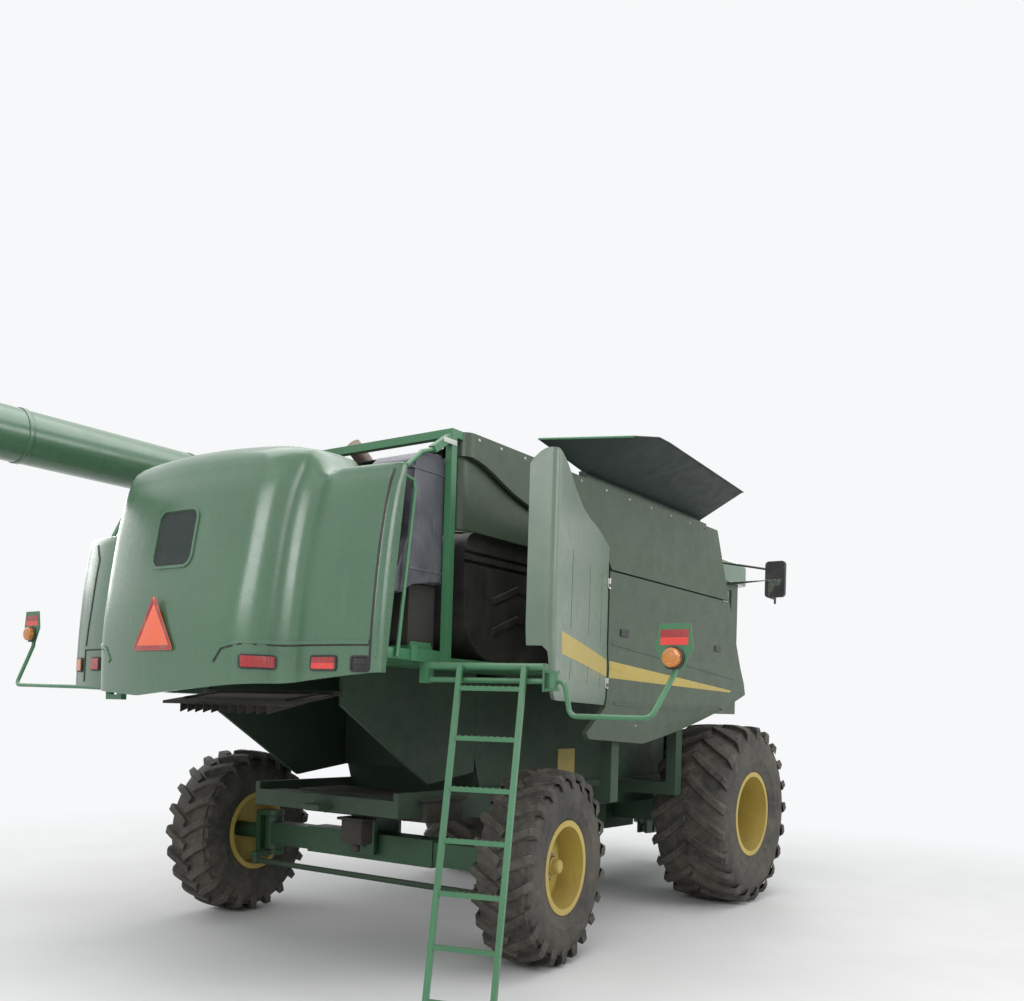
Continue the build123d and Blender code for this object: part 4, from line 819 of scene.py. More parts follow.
hood_piece = grid_piece("rear_hood_skin", hood_rows(), GREEN, "chassis", 0.022, (-5.0, 0.0, 2.8), 32)
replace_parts(hood_piece, "rear_hood")


SHIELD_REAR, SHIELD_LOW, SHIELD_TOP, SHIELD_FRONT_TOP = -4.735, 1.970, 3.620, 3.300
FLANGE_IN = 0.190
PANEL_REAR, SEAM_Z, BODY_TOP = -4.690, 3.105, 3.780


def s_edge(x):
    """The height of the shield's S-shaped top edge at a station."""
    rows = ((SHIELD_REAR, SHIELD_TOP), (-4.602, SHIELD_TOP - 0.008), (-4.432, SHIELD_TOP - 0.038),
            (-4.250, SHIELD_TOP - 0.110), (-4.062, SHIELD_TOP - 0.172), (-3.850, SHIELD_TOP - 0.222),
            (-3.602, SHIELD_TOP - 0.250), (-3.222, SHIELD_FRONT_TOP + 0.060), (HINGE_X, SHIELD_FRONT_TOP))
    return straight(rows, x)


def side_swell(z):
    """How far the lower side stands out from the upper one's plane."""
    rows = ((1.640, 0.075), (2.020, 0.003), (2.270, -0.010), (2.430, 0.0), (3.800, 0.0))
    return straight(rows, z)


def shield_rows():
    """The shield closed: its face from the hinge to the rear, rounded into the deep flange."""
    path = [(HINGE_X + (SHIELD_REAR + 0.05 - HINGE_X) * k / 26, 0.0, 0) for k in range(27)]
    path += [(SHIELD_REAR + 0.05 - 0.05 * math.sin(a), 0.05 - 0.05 * math.cos(a), 1)
             for a in (math.pi / 2 * k / 6 for k in range(1, 7))]
    path += [(SHIELD_REAR, 0.05 + (FLANGE_IN - 0.05) * k / 4, 2) for k in range(1, 5)]
    rows = []
    for x, inward, zone in path:
        low, top = SHIELD_LOW, s_edge(x) - 0.015
        if x < SHIELD_REAR + 0.16:
            reach = min(1.0, (SHIELD_REAR + 0.16 - x) / 0.16)
            low += 0.16 * (1 - math.sqrt(max(0.0, 1 - reach ** 2)))
        if zone:
            low += 0.19 * smooth(inward / 0.07)
        if zone == 2:
            top -= 0.10 * ((inward - 0.05) / (FLANGE_IN - 0.05)) ** 2
        row = []
        for k in range(25):
            z = low + (top - low) * k / 24
            pillow = 0.010 * math.sin(math.pi * k / 24) * (math.sin(math.pi
                                                                    * min(1.0,
                                                                          max(0.0, (HINGE_X - x) / 2.0))))
            row.append((x, -SIDE_Y + side_swell(z) + inward - (pillow if zone == 0 else 0.0), z))
        rows.append(row)
    return rows


def turned_row(row, angle):
    """A row of points turned about the right shield's hinge."""
    done = []
    for x, y, z in row:
        dx, dy = x - HINGE_X, y - HINGE_Y
        done.append((HINGE_X + dx * math.cos(angle) - dy * math.sin(angle),
                     HINGE_Y + dx * math.sin(angle) + dy * math.cos(angle), z))
    return done


closed_rows = shield_rows()
open_rows = [turned_row(row, SHIELD_REST) for row in closed_rows]
left_rows = [[(x, -y, z) for x, y, z in row] for row in closed_rows]
piece = grid_piece("shield_skin_right", open_rows, SHIELD, "side_shield_right", 0.026, (-3.6, 0.0, 2.8), 38)
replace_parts(piece, "shield_right")
piece = grid_piece("shield_skin_left", left_rows, SHIELD, "side_shield_left", 0.026, (-3.6, 0.0, 2.8), 38)
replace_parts(piece, "shield_left")


def hinge_knuckles(side, angle):
    """The shield's hinge tubes and their leaves."""
    build = Build()
    for z in (2.150, 2.980):
        build.tube([at(HINGE_X, side * -HINGE_Y, z - 0.045), at(HINGE_X, side * -HINGE_Y, z + 0.045)],
                   0.012, 16)
        turn = Matrix.Translation(at(HINGE_X, side * -HINGE_Y, 0)) @ Matrix.Rotation(angle, 4, "Z")
        build.box((-0.070, -side * 0.004 - 0.003, z - 0.040), (-0.006, -side * 0.004 + 0.003, z + 0.040),
                  0.001, matrix=turn)
    name = "right" if side < 0 else "left"
    build.done(f"shield_hinge_{name}", STEEL, f"side_shield_{name}")


hinge_knuckles(-1, SHIELD_REST)
hinge_knuckles(1, 0.0)


def panel_rows(inset, wrap, low_of, top_of, front_of, steps=34):
    """A side sheet wrapped round its rear corner and returned inward."""
    corner = 0.080
    y = -SIDE_Y + inset
    rows = []
    for step in range(steps + 1):
        share = step / steps
        row = []
        for k in range(13):
            x0 = front_of(SEAM_Z)
            x = x0 + (PANEL_REAR + corner - x0) * share
            low, top = low_of(x), top_of(x)
            z = low + (top - low) * k / 12
            x = x + (front_of(z) - x0) * (1 - share)
            row.append((x, y, z))
        rows.append(row)
    extra = [(PANEL_REAR + corner * (1 - math.sin(a)), y + corner * (1 - math.cos(a)))
             for a in (math.pi / 2 * k / 6 for k in range(1, 7))]
    extra += [(PANEL_REAR, y + corner + (wrap - corner) * k / 3) for k in range(1, 4)]
    for x, yy in extra:
        low, top = low_of(x), top_of(x)
        rows.append([(x, yy, low + (top - low) * k / 12) for k in range(13)])
    return rows


def upper_low(x):
    return s_edge(x) if x < HINGE_X else SEAM_Z


upper = panel_rows(0.0, 0.21, upper_low, lambda x: BODY_TOP, lambda z: -0.550 + 0.5 * (BODY_TOP - z))
recess = panel_rows(0.053, 0.157, lambda x: SEAM_Z + 0.02, lambda x: SHIELD_TOP + 0.08, lambda z: -3.084, 16)
for side, name in ((-1, "right"), (1, "left")):
    for label, rows, wall in (("upper_panel", upper, 0.030), ("recessed_panel", recess, 0.022)):
        placed = [[(x, -side * y, z) for x, y, z in row] for row in rows]
        piece = grid_piece(f"{label}_skin_{name}", placed, SIDE, "chassis", wall, (-2.5, 0.0, 3.2), 38)
        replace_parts(piece, "upper_panels")


class Skin:
    """Finds places on a surface by rays from the rear, the sides or the top, and lays thin pieces on it."""

    def __init__(self, *pieces):
        points, faces = [], []
        for piece in pieces:
            start = len(points)
            points += [piece.matrix_world @ v.co for v in piece.data.vertices]
            faces += [[start + k for k in p.vertices] for p in piece.data.polygons]
        self.tree = BVHTree.FromPolygons(points, faces)
        self.last = None

    def hit(self, way, a, b):
        """The outer point and its outward normal: from behind at (y, z), from a side at (station, z)."""
        origin, along = {
            "rear": (Vector((-9, a, b)), Vector((1, 0, 0))), "front": (Vector((9, a, b)), Vector((-1, 0, 0))),
            "right": (Vector(at(a, -6, b)), Vector((0, 1, 0))),
            "left": (Vector(at(a, 6, b)), Vector((0, -1, 0))),
            "top": (Vector(at(a, b, 8)), Vector((0, 0, -1))),
        }[way]
        point, normal, _, _ = self.tree.ray_cast(origin, along)
        if point is None and self.last:
            return self.last
        if point is None:
            point, normal, _, _ = self.tree.find_nearest(origin)
        if normal.dot(along) > 0:
            normal = -normal
        self.last = (point, normal)
        return self.last

    def sheet(self, build, way, rows, thick):
        """A closed sheet over a grid of (a, b) places."""
        found = [[self.hit(way, a, b) for a, b in row] for row in rows]
        outer = [[build.soup.verts.new(p + n * thick) for p, n in row] for row in found]
        inner = [[build.soup.verts.new(p - n * 0.001) for p, n in row] for row in found]
        tall, wide = len(rows), len(rows[0])
        for j in range(tall - 1):
            for i in range(wide - 1):
                for layer in (outer, inner):
                    build.soup.faces.new((layer[j][i], layer[j][i + 1], layer[j + 1][i + 1], layer[j + 1][i]))
        ring = [(0, i) for i in range(wide)] + [(j, wide - 1) for j in range(1, tall)]
        ring += [(tall - 1, i) for i in range(wide - 2, -1, -1)] + [(j, 0) for j in range(tall - 2, 0, -1)]
        for (j, i), (jj, ii) in zip(ring, ring[1:] + ring[:1]):
            build.soup.faces.new((outer[j][i], outer[jj][ii], inner[jj][ii], inner[j][i]))

    def patch(self, build, way, a, b, thick, steps=(8, 6)):
        rows = [[(a[0] + (a[1] - a[0]) * i / steps[0], b[0] + (b[1] - b[0]) * j / steps[1])
                 for i in range(steps[0] + 1)] for j in range(steps[1] + 1)]
        self.sheet(build, way, rows, thick)

    def strip(self, build, way, path, width, thick, step=0.06):
        """A band of one width along a path of places."""
        fine = []
        for (a, b), (c, d) in zip(path, path[1:]):
            count = max(1, int(math.hypot(c - a, d - b) / step))
            fine += [(a + (c - a) * k / count, b + (d - b) * k / count) for k in range(count)]
        fine.append(path[-1])
        closed = math.hypot(fine[0][0] - fine[-1][0], fine[0][1] - fine[-1][1]) < 1e-6
        rows = []
        for k, (a, b) in enumerate(fine):
            before = fine[k - 1] if k else (fine[-2] if closed else fine[0])
            after = fine[k + 1] if k + 1 < len(fine) else (fine[1] if closed else fine[-1])
            dx, dy = after[0] - before[0], after[1] - before[1]
            size = math.hypot(dx, dy) or 1.0
            px, py = -dy / size * width / 2, dx / size * width / 2
            rows.append([(a - px, b - py), (a, b), (a + px, b + py)])
        self.sheet(build, way, rows, thick)

    def bolt(self, build, way, a, b, size=0.018):
        point, normal = self.hit(way, a, b)
        build.bolt(frame_at(point, normal), size)


def rounded(centre, half, radius, steps=5):
    """A closed rounded rectangle as places."""
    (cx, cy), (hx, hy) = centre, half
    points = []
    for k, (sx, sy) in enumerate(((1, 1), (-1, 1), (-1, -1), (1, -1))):
        middle = (cx + sx * (hx - radius), cy + sy * (hy - radius))
        points += arc(middle, radius, 90 * k, 90 * k + 90, steps)
    return points + points[:1]


hood = Skin(hood_piece)
# The fold that runs out from the bulge over the lamps, as (distance, height), and where it ends on each side;
# the first line, just under the ridge, carries a thin dark strip of painted shadow
FOLD_SHADOW = ((0.560, 2.150), (0.620, 2.235), (0.740, 2.268), (1.000, 2.272))
FOLD_RIDGE = ((0.545, 2.165), (0.610, 2.252), (0.735, 2.286), (1.000, 2.290))
FOLD_END = {-1: 1.548, 1: 1.370}
EMBLEM, EMBLEM_HALF = (-0.060, 2.992), 0.185


def fold(points, side):
    return [(side * y, z) for y, z in points] + [(side * FOLD_END[side], points[-1][1])]


# Dark seam lines at the hood's sides; the thin dark strips along the fold are painted shadow under its ridge
build = Build()
hood.strip(build, "rear", [(-1.567, 3.40), (-1.562, 2.918), (-1.558, 2.286), (-1.556, 2.125)], 0.013, 0.003)
left_seal = [(1.400, 3.10), (1.325, 2.98), (1.345, 2.6), (1.380, 2.276), (1.385, 2.03)]
hood.strip(build, "rear", left_seal, 0.018, 0.004)
for side in (-1, 1):
    hood.strip(build, "rear", fold(FOLD_SHADOW, side), 0.009, 0.002)
build.done("hood_seams_and_fold_shadow", RUBBER)

build = Build()
for side in (-1, 1):
    hood.strip(build, "rear", fold(FOLD_RIDGE, side), 0.024, 0.009)
rim_half = EMBLEM_HALF + 0.015
hood.strip(build, "rear", rounded(EMBLEM, (rim_half, rim_half), 0.075), 0.020, 0.010, step=0.03)
hood.strip(build, "rear", [(-1.585, 3.38), (-1.583, 2.9), (-1.580, 2.20)], 0.020, 0.004)
build.done("hood_ridges", GREEN, angle=50)

# A dark patch inside the emblem's rim: painted shade in the recess
build = Build()
hood.patch(build, "rear", *((c - EMBLEM_HALF, c + EMBLEM_HALF) for c in EMBLEM), 0.002)
build.done("emblem_recess_painted_shade", FLAP_SHADE)

# Rear lamps: the middle's distance and height, the width and the height
RED_RIGHT, REFLECTOR = (-0.800, 2.160, 0.110, 0.072), (-1.225, 2.160, 0.190, 0.078)
RED_LEFT, AMBER_LEFT = (1.200, 2.165, 0.105, 0.085), (1.470, 2.160, 0.090, 0.090)
SOCKET = (-1.494, 2.157, 0.108, 0.078)


def lamp_face(build, lamp, thick, steps, low=-0.5, high=0.5):
    """A lamp's face, or a share of its height, laid on the hood."""
    y, z, wide, tall = lamp
    hood.patch(build, "rear", (y - wide / 2, y + wide / 2), (z + low * tall, z + high * tall), thick, steps)


def bezel(build, lamp, margin, width, thick):
    y, z, wide, tall = lamp
    path = rounded((y, z), (wide / 2 + margin, tall / 2 + margin), 0.012, 2)
    hood.strip(build, "rear", path, width, thick, step=0.03)


build = Build()
lamp_face(build, SOCKET, 0.003, (4, 3))
for k in range(3):
    hood.bolt(build, "rear", -1.520 + 0.026 * k, SOCKET[1], 0.016)
build.done("lamp_socket", TRIM)
build = Build()
for lamp in (RED_RIGHT, REFLECTOR, RED_LEFT, AMBER_LEFT):
    bezel(build, lamp, 0.004, 0.014, 0.012)
bezel(build, SOCKET, 0.006, 0.012, 0.010)
build.done("lamp_bezels", TRIM)
for name, look, lamps, stands_for in (("red_lens_pair", RED, (RED_RIGHT, RED_LEFT), "red_lenses"),
                                      ("amber_lens_left", AMBER, (AMBER_LEFT,), "amber_lenses")):
    build = Build()
    for lamp in lamps:
        lamp_face(build, lamp, 0.018, (4, 4))
    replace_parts(build.done(name, look), stands_for)
for name, look, low in (("reflector_dark", DARK_RED, 0.0), ("reflector_bright", BRIGHT_RED, -0.5)):
    build = Build()
    lamp_face(build, REFLECTOR, 0.012, (6, 2), low, low + 0.5)
    build.done(name, look)


BULGE_REAR = -5.915


def sign_plate(build, outline, stand, thick):
    """A flat plate across the bulge at a stand-off."""
    x = BULGE_REAR + AHEAD - stand
    build.prism(outline, thick, Matrix(((0, 0, -1, x), (1, 0, 0, 0), (0, 1, 0, 0), (0, 0, 0, 1))), 0.0008)


build = Build()
triangle = [(-0.203, 2.230), (0.203, 2.230), (0.203, 2.252), (0.014, 2.586), (-0.014, 2.586), (-0.203, 2.252)]
sign_plate(build, triangle, 0.010, 0.003)
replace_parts(build.done("slow_vehicle_sign", ORANGE), "smv_triangle")
build = Build()
sign_plate(build, [(-0.199, 2.233), (0.199, 2.233), (0.172, 2.262), (-0.172, 2.262)], 0.0132, 0.0010)
border = ((0.201, 2.251), (0.199, 2.236), (0.170, 2.264), (0.0, 2.545), (0.013, 2.583))
for side in (-1, 1):
    sign_plate(build, [(side * y, z) for y, z in border], 0.0132, 0.0010)
build.done("sign_border", DARK_RED, "chassis", "orange_sign")
build = Build()
for y, z in ((-0.12, 2.29), (0.12, 2.29), (0.0, 2.48)):
    build.box(at(BULGE_REAR - 0.010, y - 0.02, z - 0.02), at(BULGE_REAR + 0.035, y + 0.02, z + 0.02), 0.003)
build.done("sign_mounts", BLACK)


def side_prism(build, points, y0, y1, bevel=0.0):
    """An outline of (station, height) carried across the machine."""
    build.prism(points, y1 - y0, Matrix(((1, 0, 0, AHEAD), (0, 0, 1, y0), (0, 1, 0, 0), (0, 0, 0, 1))), bevel)


# Hood carriers: arms below the hood with their cross bar, a gusset, the upper stays and the grab rail
BAR_REAR, BAR_LOW = -5.420, 2.205
ARM_IN, ARM_OUT = 1.500, 1.560
STAY_Y, RAIL_Y = 1.577, -1.578
build = Build()
for side, sag, foot in ((-1, 0.0, 3.395), (1, 0.10, 3.110)):
    inner, outer = sorted((side * ARM_IN, side * ARM_OUT))
    build.box(at(BAR_REAR, inner, BAR_LOW), at(-5.050, outer, BAR_LOW + 0.070), 0.006)
    build.tube([at(-4.955, side * STAY_Y, 3.605), at(-5.080, side * STAY_Y, 3.560 - sag),
                at(-5.262, side * ARM_OUT, foot)], 0.016)
build.box(at(BAR_REAR, -1.565, BAR_LOW), at(BAR_REAR + 0.045, 1.565, 2.300), 0.005)
side_prism(build, [(-5.10, 2.23), (-4.80, 2.23), (-4.86, 2.33), (-5.06, 2.33)], -1.516, -1.502, 0.002)
rail = ((-5.262, 2.215), (-5.245, 2.36), (-5.135, 3.30), (-5.150, 3.36), (-5.235, 3.375))
build.tube([at(x, RAIL_Y, z) for x, z in rail], 0.013)
build.done("hood_carriers", BRIGHT)

# The air duct and its foot
DUCT_FRONT, DUCT_REAR, DUCT_LOW, DUCT_TOP = -4.790, -5.128, 2.720, 3.600
DUCT_OUT, DUCT_IN = -1.545, -1.160
build = Build()
build.box(at(-5.075, -1.500, 2.275), at(-4.805, -1.180, DUCT_LOW - 0.005), 0.012)
build.done("duct_foot_box", GRIME_AND_SHADE)
build = Build()
front, rear, low, top = DUCT_FRONT, DUCT_REAR, DUCT_LOW, DUCT_TOP
outline = [(front, low), (front, top - 0.05), (front - 0.05, top), (rear + 0.07, top - 0.03),
           (rear + 0.01, top - 0.09), (rear - 0.008, 2.99), (rear - 0.17, low + 0.02),
           (rear - 0.17, low - 0.09), (rear - 0.06, low - 0.09), (rear + 0.03, low)]
side_prism(build, outline, DUCT_OUT, DUCT_IN, 0.022)
for z in (2.80, 3.46):
    build.box(at(rear - 0.006, DUCT_OUT - 0.004, z - 0.008), at(front + 0.004, -1.400, z + 0.008), 0.003)
duct = build.done("air_duct_moulding", DUCT)
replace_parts(duct, "air_duct")

# Tank flaps: stiff sheets with a rolled lip and stiffeners, each on its hinge line
HINGE_TUBE, LIP_TUBE = 0.009, 0.007


def leaning(origin, slope, inward):
    """The frame of a sheet: local X along the machine, local Y up its slope."""
    turn = Matrix((Vector((1, 0, 0)), slope.normalized(), inward.normalized())).transposed().to_4x4()
    return Matrix.Translation(origin) @ turn


def right_flap():
    lean = math.radians(28)
    reach, corner = 0.610, 0.09
    front, middle, rear = -0.815, -1.930, -3.045
    base = Vector((AHEAD, -1.575, 3.840))
    slope = Vector((0, -math.cos(lean), math.sin(lean)))
    inward = Vector((0, math.sin(lean), math.cos(lean)))
    outline = [(front, 0), (front, reach - 0.105), (rear + 0.445, reach), (rear + 0.265, reach),
               (rear, reach - corner), (rear, 0)]
    build = Build()
    build.prism(outline, 0.006, leaning(base, slope, inward), 0.002)
    build.tube([base + Vector((front, 0, 0)), base + Vector((rear, 0, 0))], HINGE_TUBE)
    build.tube([base + Vector((x, 0, 0)) + slope * r for x, r in outline[1:5]], LIP_TUBE, 8)
    for x in (rear + 0.35, middle, front - 0.35):
        strip = [(x - 0.02, 0.03), (x + 0.02, 0.03), (x + 0.02, reach - 0.14), (x - 0.02, reach - 0.14)]
        build.prism(strip, 0.006, leaning(base + inward * 0.005, slope, inward), 0.004)
    piece = build.done("tank_flap_sheet_right", FLAP_SHADE, "flap_right")
    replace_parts(piece, "tank_flap_right")


def end_flap(name, station, side):
    """A flap over the tank's front or rear, narrowed to its tip to pass the folded side flaps."""
    lean = math.radians(19)
    run, rise = 0.630 * math.cos(lean), 0.630 * math.sin(lean)
    half, tip, reach, height = 1.5, 0.78, 0.650, 3.802
    base = Vector(at(station, 0, height))
    slope = Vector((side * math.cos(lean), 0, math.sin(lean)))
    across = Vector((0, -side, 0))
    outline = [(-half, 0), (half, 0), (half, 0.08), (tip, reach), (-tip, reach), (-half, 0.08)]
    build = Build()
    build.prism(outline, 0.007, frame_at(base, across.cross(slope), across), 0.0015)
    build.tube([base + Vector((0, y, 0)) + slope * r for y, r in outline[2:]], LIP_TUBE, 8)
    build.tube([base - Vector((0, half, 0)), base + Vector((0, half, 0))], HINGE_TUBE)
    rib = ((0.04, 0.02), (run - 0.05, rise - 0.01), (run - 0.05, rise + 0.012), (0.04, 0.036))
    for y in (-0.75, -0.27, 0.23, 0.71):
        side_prism(build, [(station + side * x, height + z) for x, z in rib], y, y + 0.04, 0.003)
    piece = build.done(f"tank_flap_sheet_{name}", FLAP_SHADE, f"flap_{name}")
    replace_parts(piece, f"tank_flap_{name}")


right_flap()
end_flap("front", -0.612, 1)
end_flap("rear", -3.060, -1)

# The fixed three-cornered sheet behind the right flap, with its bracket and lip
corners = [Vector(at(*p)) for p in ((-3.055, -1.590, 3.842), (-3.053, -2.034, 4.082),
                                    (-3.640, -1.520, 3.990))]
build = Build()
normal = (corners[1] - corners[0]).cross(corners[2] - corners[0]).normalized()
low = [build.soup.verts.new(p) for p in corners]
high = [build.soup.verts.new(p + normal * 0.005) for p in corners]
build.soup.faces.new(low)
build.soup.faces.new(high)
for k in range(3):
    build.soup.faces.new((low[k], low[(k + 1) % 3], high[(k + 1) % 3], high[k]))
build.box(at(-3.100, -1.600, 3.770), at(-3.056, -1.560, 3.850), 0.003)
build.done("corner_sheet", FLAP_SHADE)
build = Build()
build.tube([corners[1], corners[2]], HINGE_TUBE, 8)
build.done("corner_lip", BRIGHT)


# Side stripes, creases and bolts
shield_skin = {name: Skin(bpy.data.objects[f"shield_skin_{name}"]) for name in ("right", "left")}
panel_skin = Skin(nodes["lower_panels"])
upper_skin = Skin(*(bpy.data.objects[f"upper_panel_skin_{name}"] for name in ("right", "left")))


def band_rows(stations, top, low, steps=3):
    """Rows of places between two edges that each run from the first station to the last."""
    a, b = stations
    count = max(6, int(abs(b - a) / 0.12))
    rows = []
    for j in range(steps + 1):
        row = []
        for i in range(count + 1):
            t = i / count
            high = top[0] + (top[1] - top[0]) * t
            base = low[0] + (low[1] - low[0]) * t
            row.append((a + (b - a) * t, base + (high - base) * j / steps))
        rows.append(row)
    return rows


STRIPE_THICK, BOLT = 0.0012, 0.014
SHIELD_STRIPE_REAR = {"right": -4.42, "left": -4.60}
CREASES = (([(-2.640, 2.485), (-1.300, 2.395), (-0.030, 2.300)], 0.016, 0.005),
           ([(-2.560, 1.985), (-1.300, 1.960), (-0.200, 1.980)], 0.020, 0.006))
TOP_BOLTS = (-4.56, -4.30, -4.00, -3.60, -3.20, -2.80, -2.40, -2.00, -1.60, -1.20, -0.85)
LOW_BOLTS = ((-2.62, 1.86), (-2.10, 1.80), (-1.50, 1.80), (-0.90, 1.80), (-0.45, 1.80))
RIM_OUT, RIM_THICK = 1.596, 0.008
for side, name in ((-1, "right"), (1, "left")):
    shield, way = shield_skin[name], name
    build = Build()
    band = band_rows((SHIELD_STRIPE_REAR[name], -2.775), (2.435, 2.345), (2.282, 2.205))
    shield.sheet(build, way, band, STRIPE_THICK)
    build.done(f"shield_stripe_{name}", STRIPE, f"side_shield_{name}", angle=60)
    build = Build()
    panel_skin.sheet(build, way, band_rows((-2.690, -0.140), (2.340, 2.182), (2.198, 2.160)), STRIPE_THICK)
    build.done(f"panel_stripe_{name}", STRIPE, angle=60)
    build = Build()
    for path, width, thick in CREASES:
        panel_skin.strip(build, way, path, width, thick)
    build.done(f"panel_crease_{name}", SIDE, angle=60)
    build = Build()
    for x in (-4.15, -3.55, -3.05):
        shield.strip(build, way, [(x, 2.12), (x, 2.25)], 0.010, 0.002)
        shield.strip(build, way, [(x, 2.47), (x + 0.02, 3.02)], 0.012, 0.0025)
    build.done(f"shield_crease_{name}", SHIELD, f"side_shield_{name}", angle=60)
    build = Build()
    for x in TOP_BOLTS:
        upper_skin.bolt(build, way, x, 3.745, BOLT)
    for z in (3.36, 3.52, 3.68):
        upper_skin.bolt(build, "rear", side * 1.530, z, BOLT)
    for x, z in LOW_BOLTS:
        panel_skin.bolt(build, way, x, z, BOLT)
    build.done(f"panel_bolts_{name}", STEEL)
    build = Build()
    inner, outer = sorted((side * (RIM_OUT - RIM_THICK), side * RIM_OUT))
    build.box(at(-3.045, inner, 3.765), at(-0.700, outer, 3.826), 0.002)
    build.done(f"tank_rim_{name}", SIDE)
    build = Build()
    for x in (-2.50, -0.55):
        panel_skin.patch(build, way, (x, x + 0.14), (2.56, 2.62), 0.010, (3, 2))
    build.done(f"panel_latches_{name}", TRIM)

for name, look, slot, low, high, bevel in (("blank_label", PALE, "side_green", (-4.892, -1.6075, 3.668),
                                            (-4.750, -1.6045, 3.702), 0.0006),
                                           ("blank_plate", PLATE_YELLOW, "yellow_paint",
                                            (-2.000, -0.7440, 1.320), (-1.700, -0.7405, 1.560), 0.0008)):
    build = Build()
    build.box(at(*low), at(*high), bevel)
    build.done(name, look, "chassis", slot)


# Wheels: hub caps, bolts and valve
class RimFace:
    """Finds the outer face of a rim, seen along its axle."""

    def __init__(self, end, side, name):
        place = wheel_matrix(end, side)
        self.tree = Skin(nodes[f"{end}_rim_{name}"]).tree
        self.outward = (place.to_3x3() @ Vector((0, side, 0))).normalized()
        self.across = (place.to_3x3() @ Vector((1, 0, 0))).normalized()
        self.origin = place.translation

    def point(self, radius, angle):
        spoke = self.across * math.cos(angle) + Vector((0, 0, 1)) * math.sin(angle)
        return self.tree.ray_cast(self.origin + self.outward * 0.6 + spoke * radius, -self.outward)[0]


# End, its sizes, the hub cap's radius and look, and the bolt circle's radius and count
WHEEL_DRESS = (("front", FRONT_TYRE, 0.082, GRIME_AND_SHADE, 0.135, 10), ("rear", REAR_TYRE, 0.060, YELLOW, 0.098, 8))
CAP_FORM = ((1.15, 0.0), (1.15, 0.014), (1.0, 0.020), (0.96, 0.052), (0.80, 0.068), (0.35, 0.073),
            (0.0, 0.074))
for end, size, hub, cap_look, ring, count in WHEEL_DRESS:
    for side, name in ((-1, "right"), (1, "left")):
        rim = RimFace(end, side, name)
        outward = rim.outward
        build = Build()
        seat = frame_at(rim.point(0.004, 0.3) - outward * 0.004, outward)
        build.lathe([(hub * r, h) for r, h in CAP_FORM], 36, seat)
        for x, y in circle(hub * 0.62, 6):
            build.bolt(seat @ Matrix.Translation((x, y, 0.066)), 0.012)
        build.done(f"{end}_hub_cap_{name}", cap_look, f"{end}_wheel_{name}", "steel")
        build = Build()
        for k in range(count):
            seat = frame_at(rim.point(ring, 2 * math.pi * k / count), outward)
            build.bolt(seat, 0.030)
            build.lathe([(0.0075, 0.012), (0.0075, 0.034), (0.0, 0.035)], 10, seat)
        valve = rim.point(size["rim"] - 0.075, 1.1)
        steps = ((-0.004, 0.0), (0.030, 0.008), (0.055, 0.014))
        build.tube([valve + outward * out + Vector((0, 0, rise)) for out, rise in steps], 0.006, 10)
        build.done(f"{end}_wheel_bolts_{name}", STEEL, f"{end}_wheel_{name}")


# Warning arms: reflective strips, lamp rims and domes
# Label, look, and the strip's lower edge, upper edge and half width from the lamp's middle
STRIPS = (("dark", DARK_RED, 0.126, 0.172, 0.094), ("bright", BRIGHT_RED, 0.078, 0.124, 0.092))
DOME = ((0.0595, 0.001), (0.056, 0.008), (0.040, 0.013), (0.036, 0.010), (0.018, 0.014), (0.0, 0.015))
for name in ("right", "left"):
    paddle = Skin(nodes[f"warning_arm_{name}"])
    lamp_node = nodes[f"arm_lamp_{name}"]
    spots = [lamp_node.matrix_world @ v.co for v in lamp_node.data.vertices]
    (rear_x, low_y, low_z), (front_x, high_y, high_z) = ([f(p[k] for p in spots) for k in range(3)]
                                                         for f in (min, max))
    mid_y, mid_z = (low_y + high_y) / 2, (low_z + high_z) / 2
    for label, look, low, high, wide in STRIPS:
        build = Build()
        paddle.patch(build, "rear", (mid_y - wide, mid_y + wide), (mid_z + low, mid_z + high), 0.002, (6, 3))
        build.done(f"paddle_{label}_{name}", look, f"lamp_arm_{name}", "red_lens")
    build = Build()
    seat = frame_at((front_x, mid_y, mid_z), (-1, 0, 0))
    build.lathe([(0.060, 0.0), (0.072, 0.0), (0.072, 0.014), (0.062, 0.018), (0.0612, 0.018)], 40, seat,
                closed=True)
    build.done(f"lamp_rim_{name}", TRIM, f"lamp_arm_{name}")
    build = Build()
    build.lathe([(r, front_x - rear_x + h) for r, h in DOME], 40, seat)
    build.done(f"lamp_dome_{name}", AMBER, f"lamp_arm_{name}")


# Ladder: rung treads and hooked feet
LADDER_TOP, LADDER_FOOT = Vector((-4.906, -1.811, 2.180)), Vector((-5.296, -1.916, 0.045))
LADDER_WAY, LADDER_WIDE = Vector((0.26, -0.9656, 0)), 0.440
RUNGS, STUDS = 7, 9
shift = Vector((AHEAD, 0, 0))
build = Build()
along = (LADDER_TOP - LADDER_FOOT).normalized()
for foot in (LADDER_FOOT, LADDER_FOOT + LADDER_WAY * LADDER_WIDE):
    start = foot + shift + along * 0.03
    build.tube([start, start - along * 0.030 + Vector((0.012, 0, 0)), start + Vector((0.050, 0, -0.030)),
                start + Vector((0.085, 0, -0.018))], 0.011, 10)
for step in range(RUNGS):
    left = LADDER_FOOT + (LADDER_TOP - LADDER_FOOT) * (0.03 + 0.15 * step) + shift
    for k in range(STUDS):
        spot = left + LADDER_WAY.normalized() * (0.045 + 0.0437 * k) + Vector((0, 0, 0.0150))
        build.lathe([(0.0075, -0.001), (0.0065, 0.0035), (0.0035, 0.0045), (0.0, 0.0045)], 8,
                    Matrix.Translation(spot))
build.done("ladder_feet_and_studs", BRIGHT)


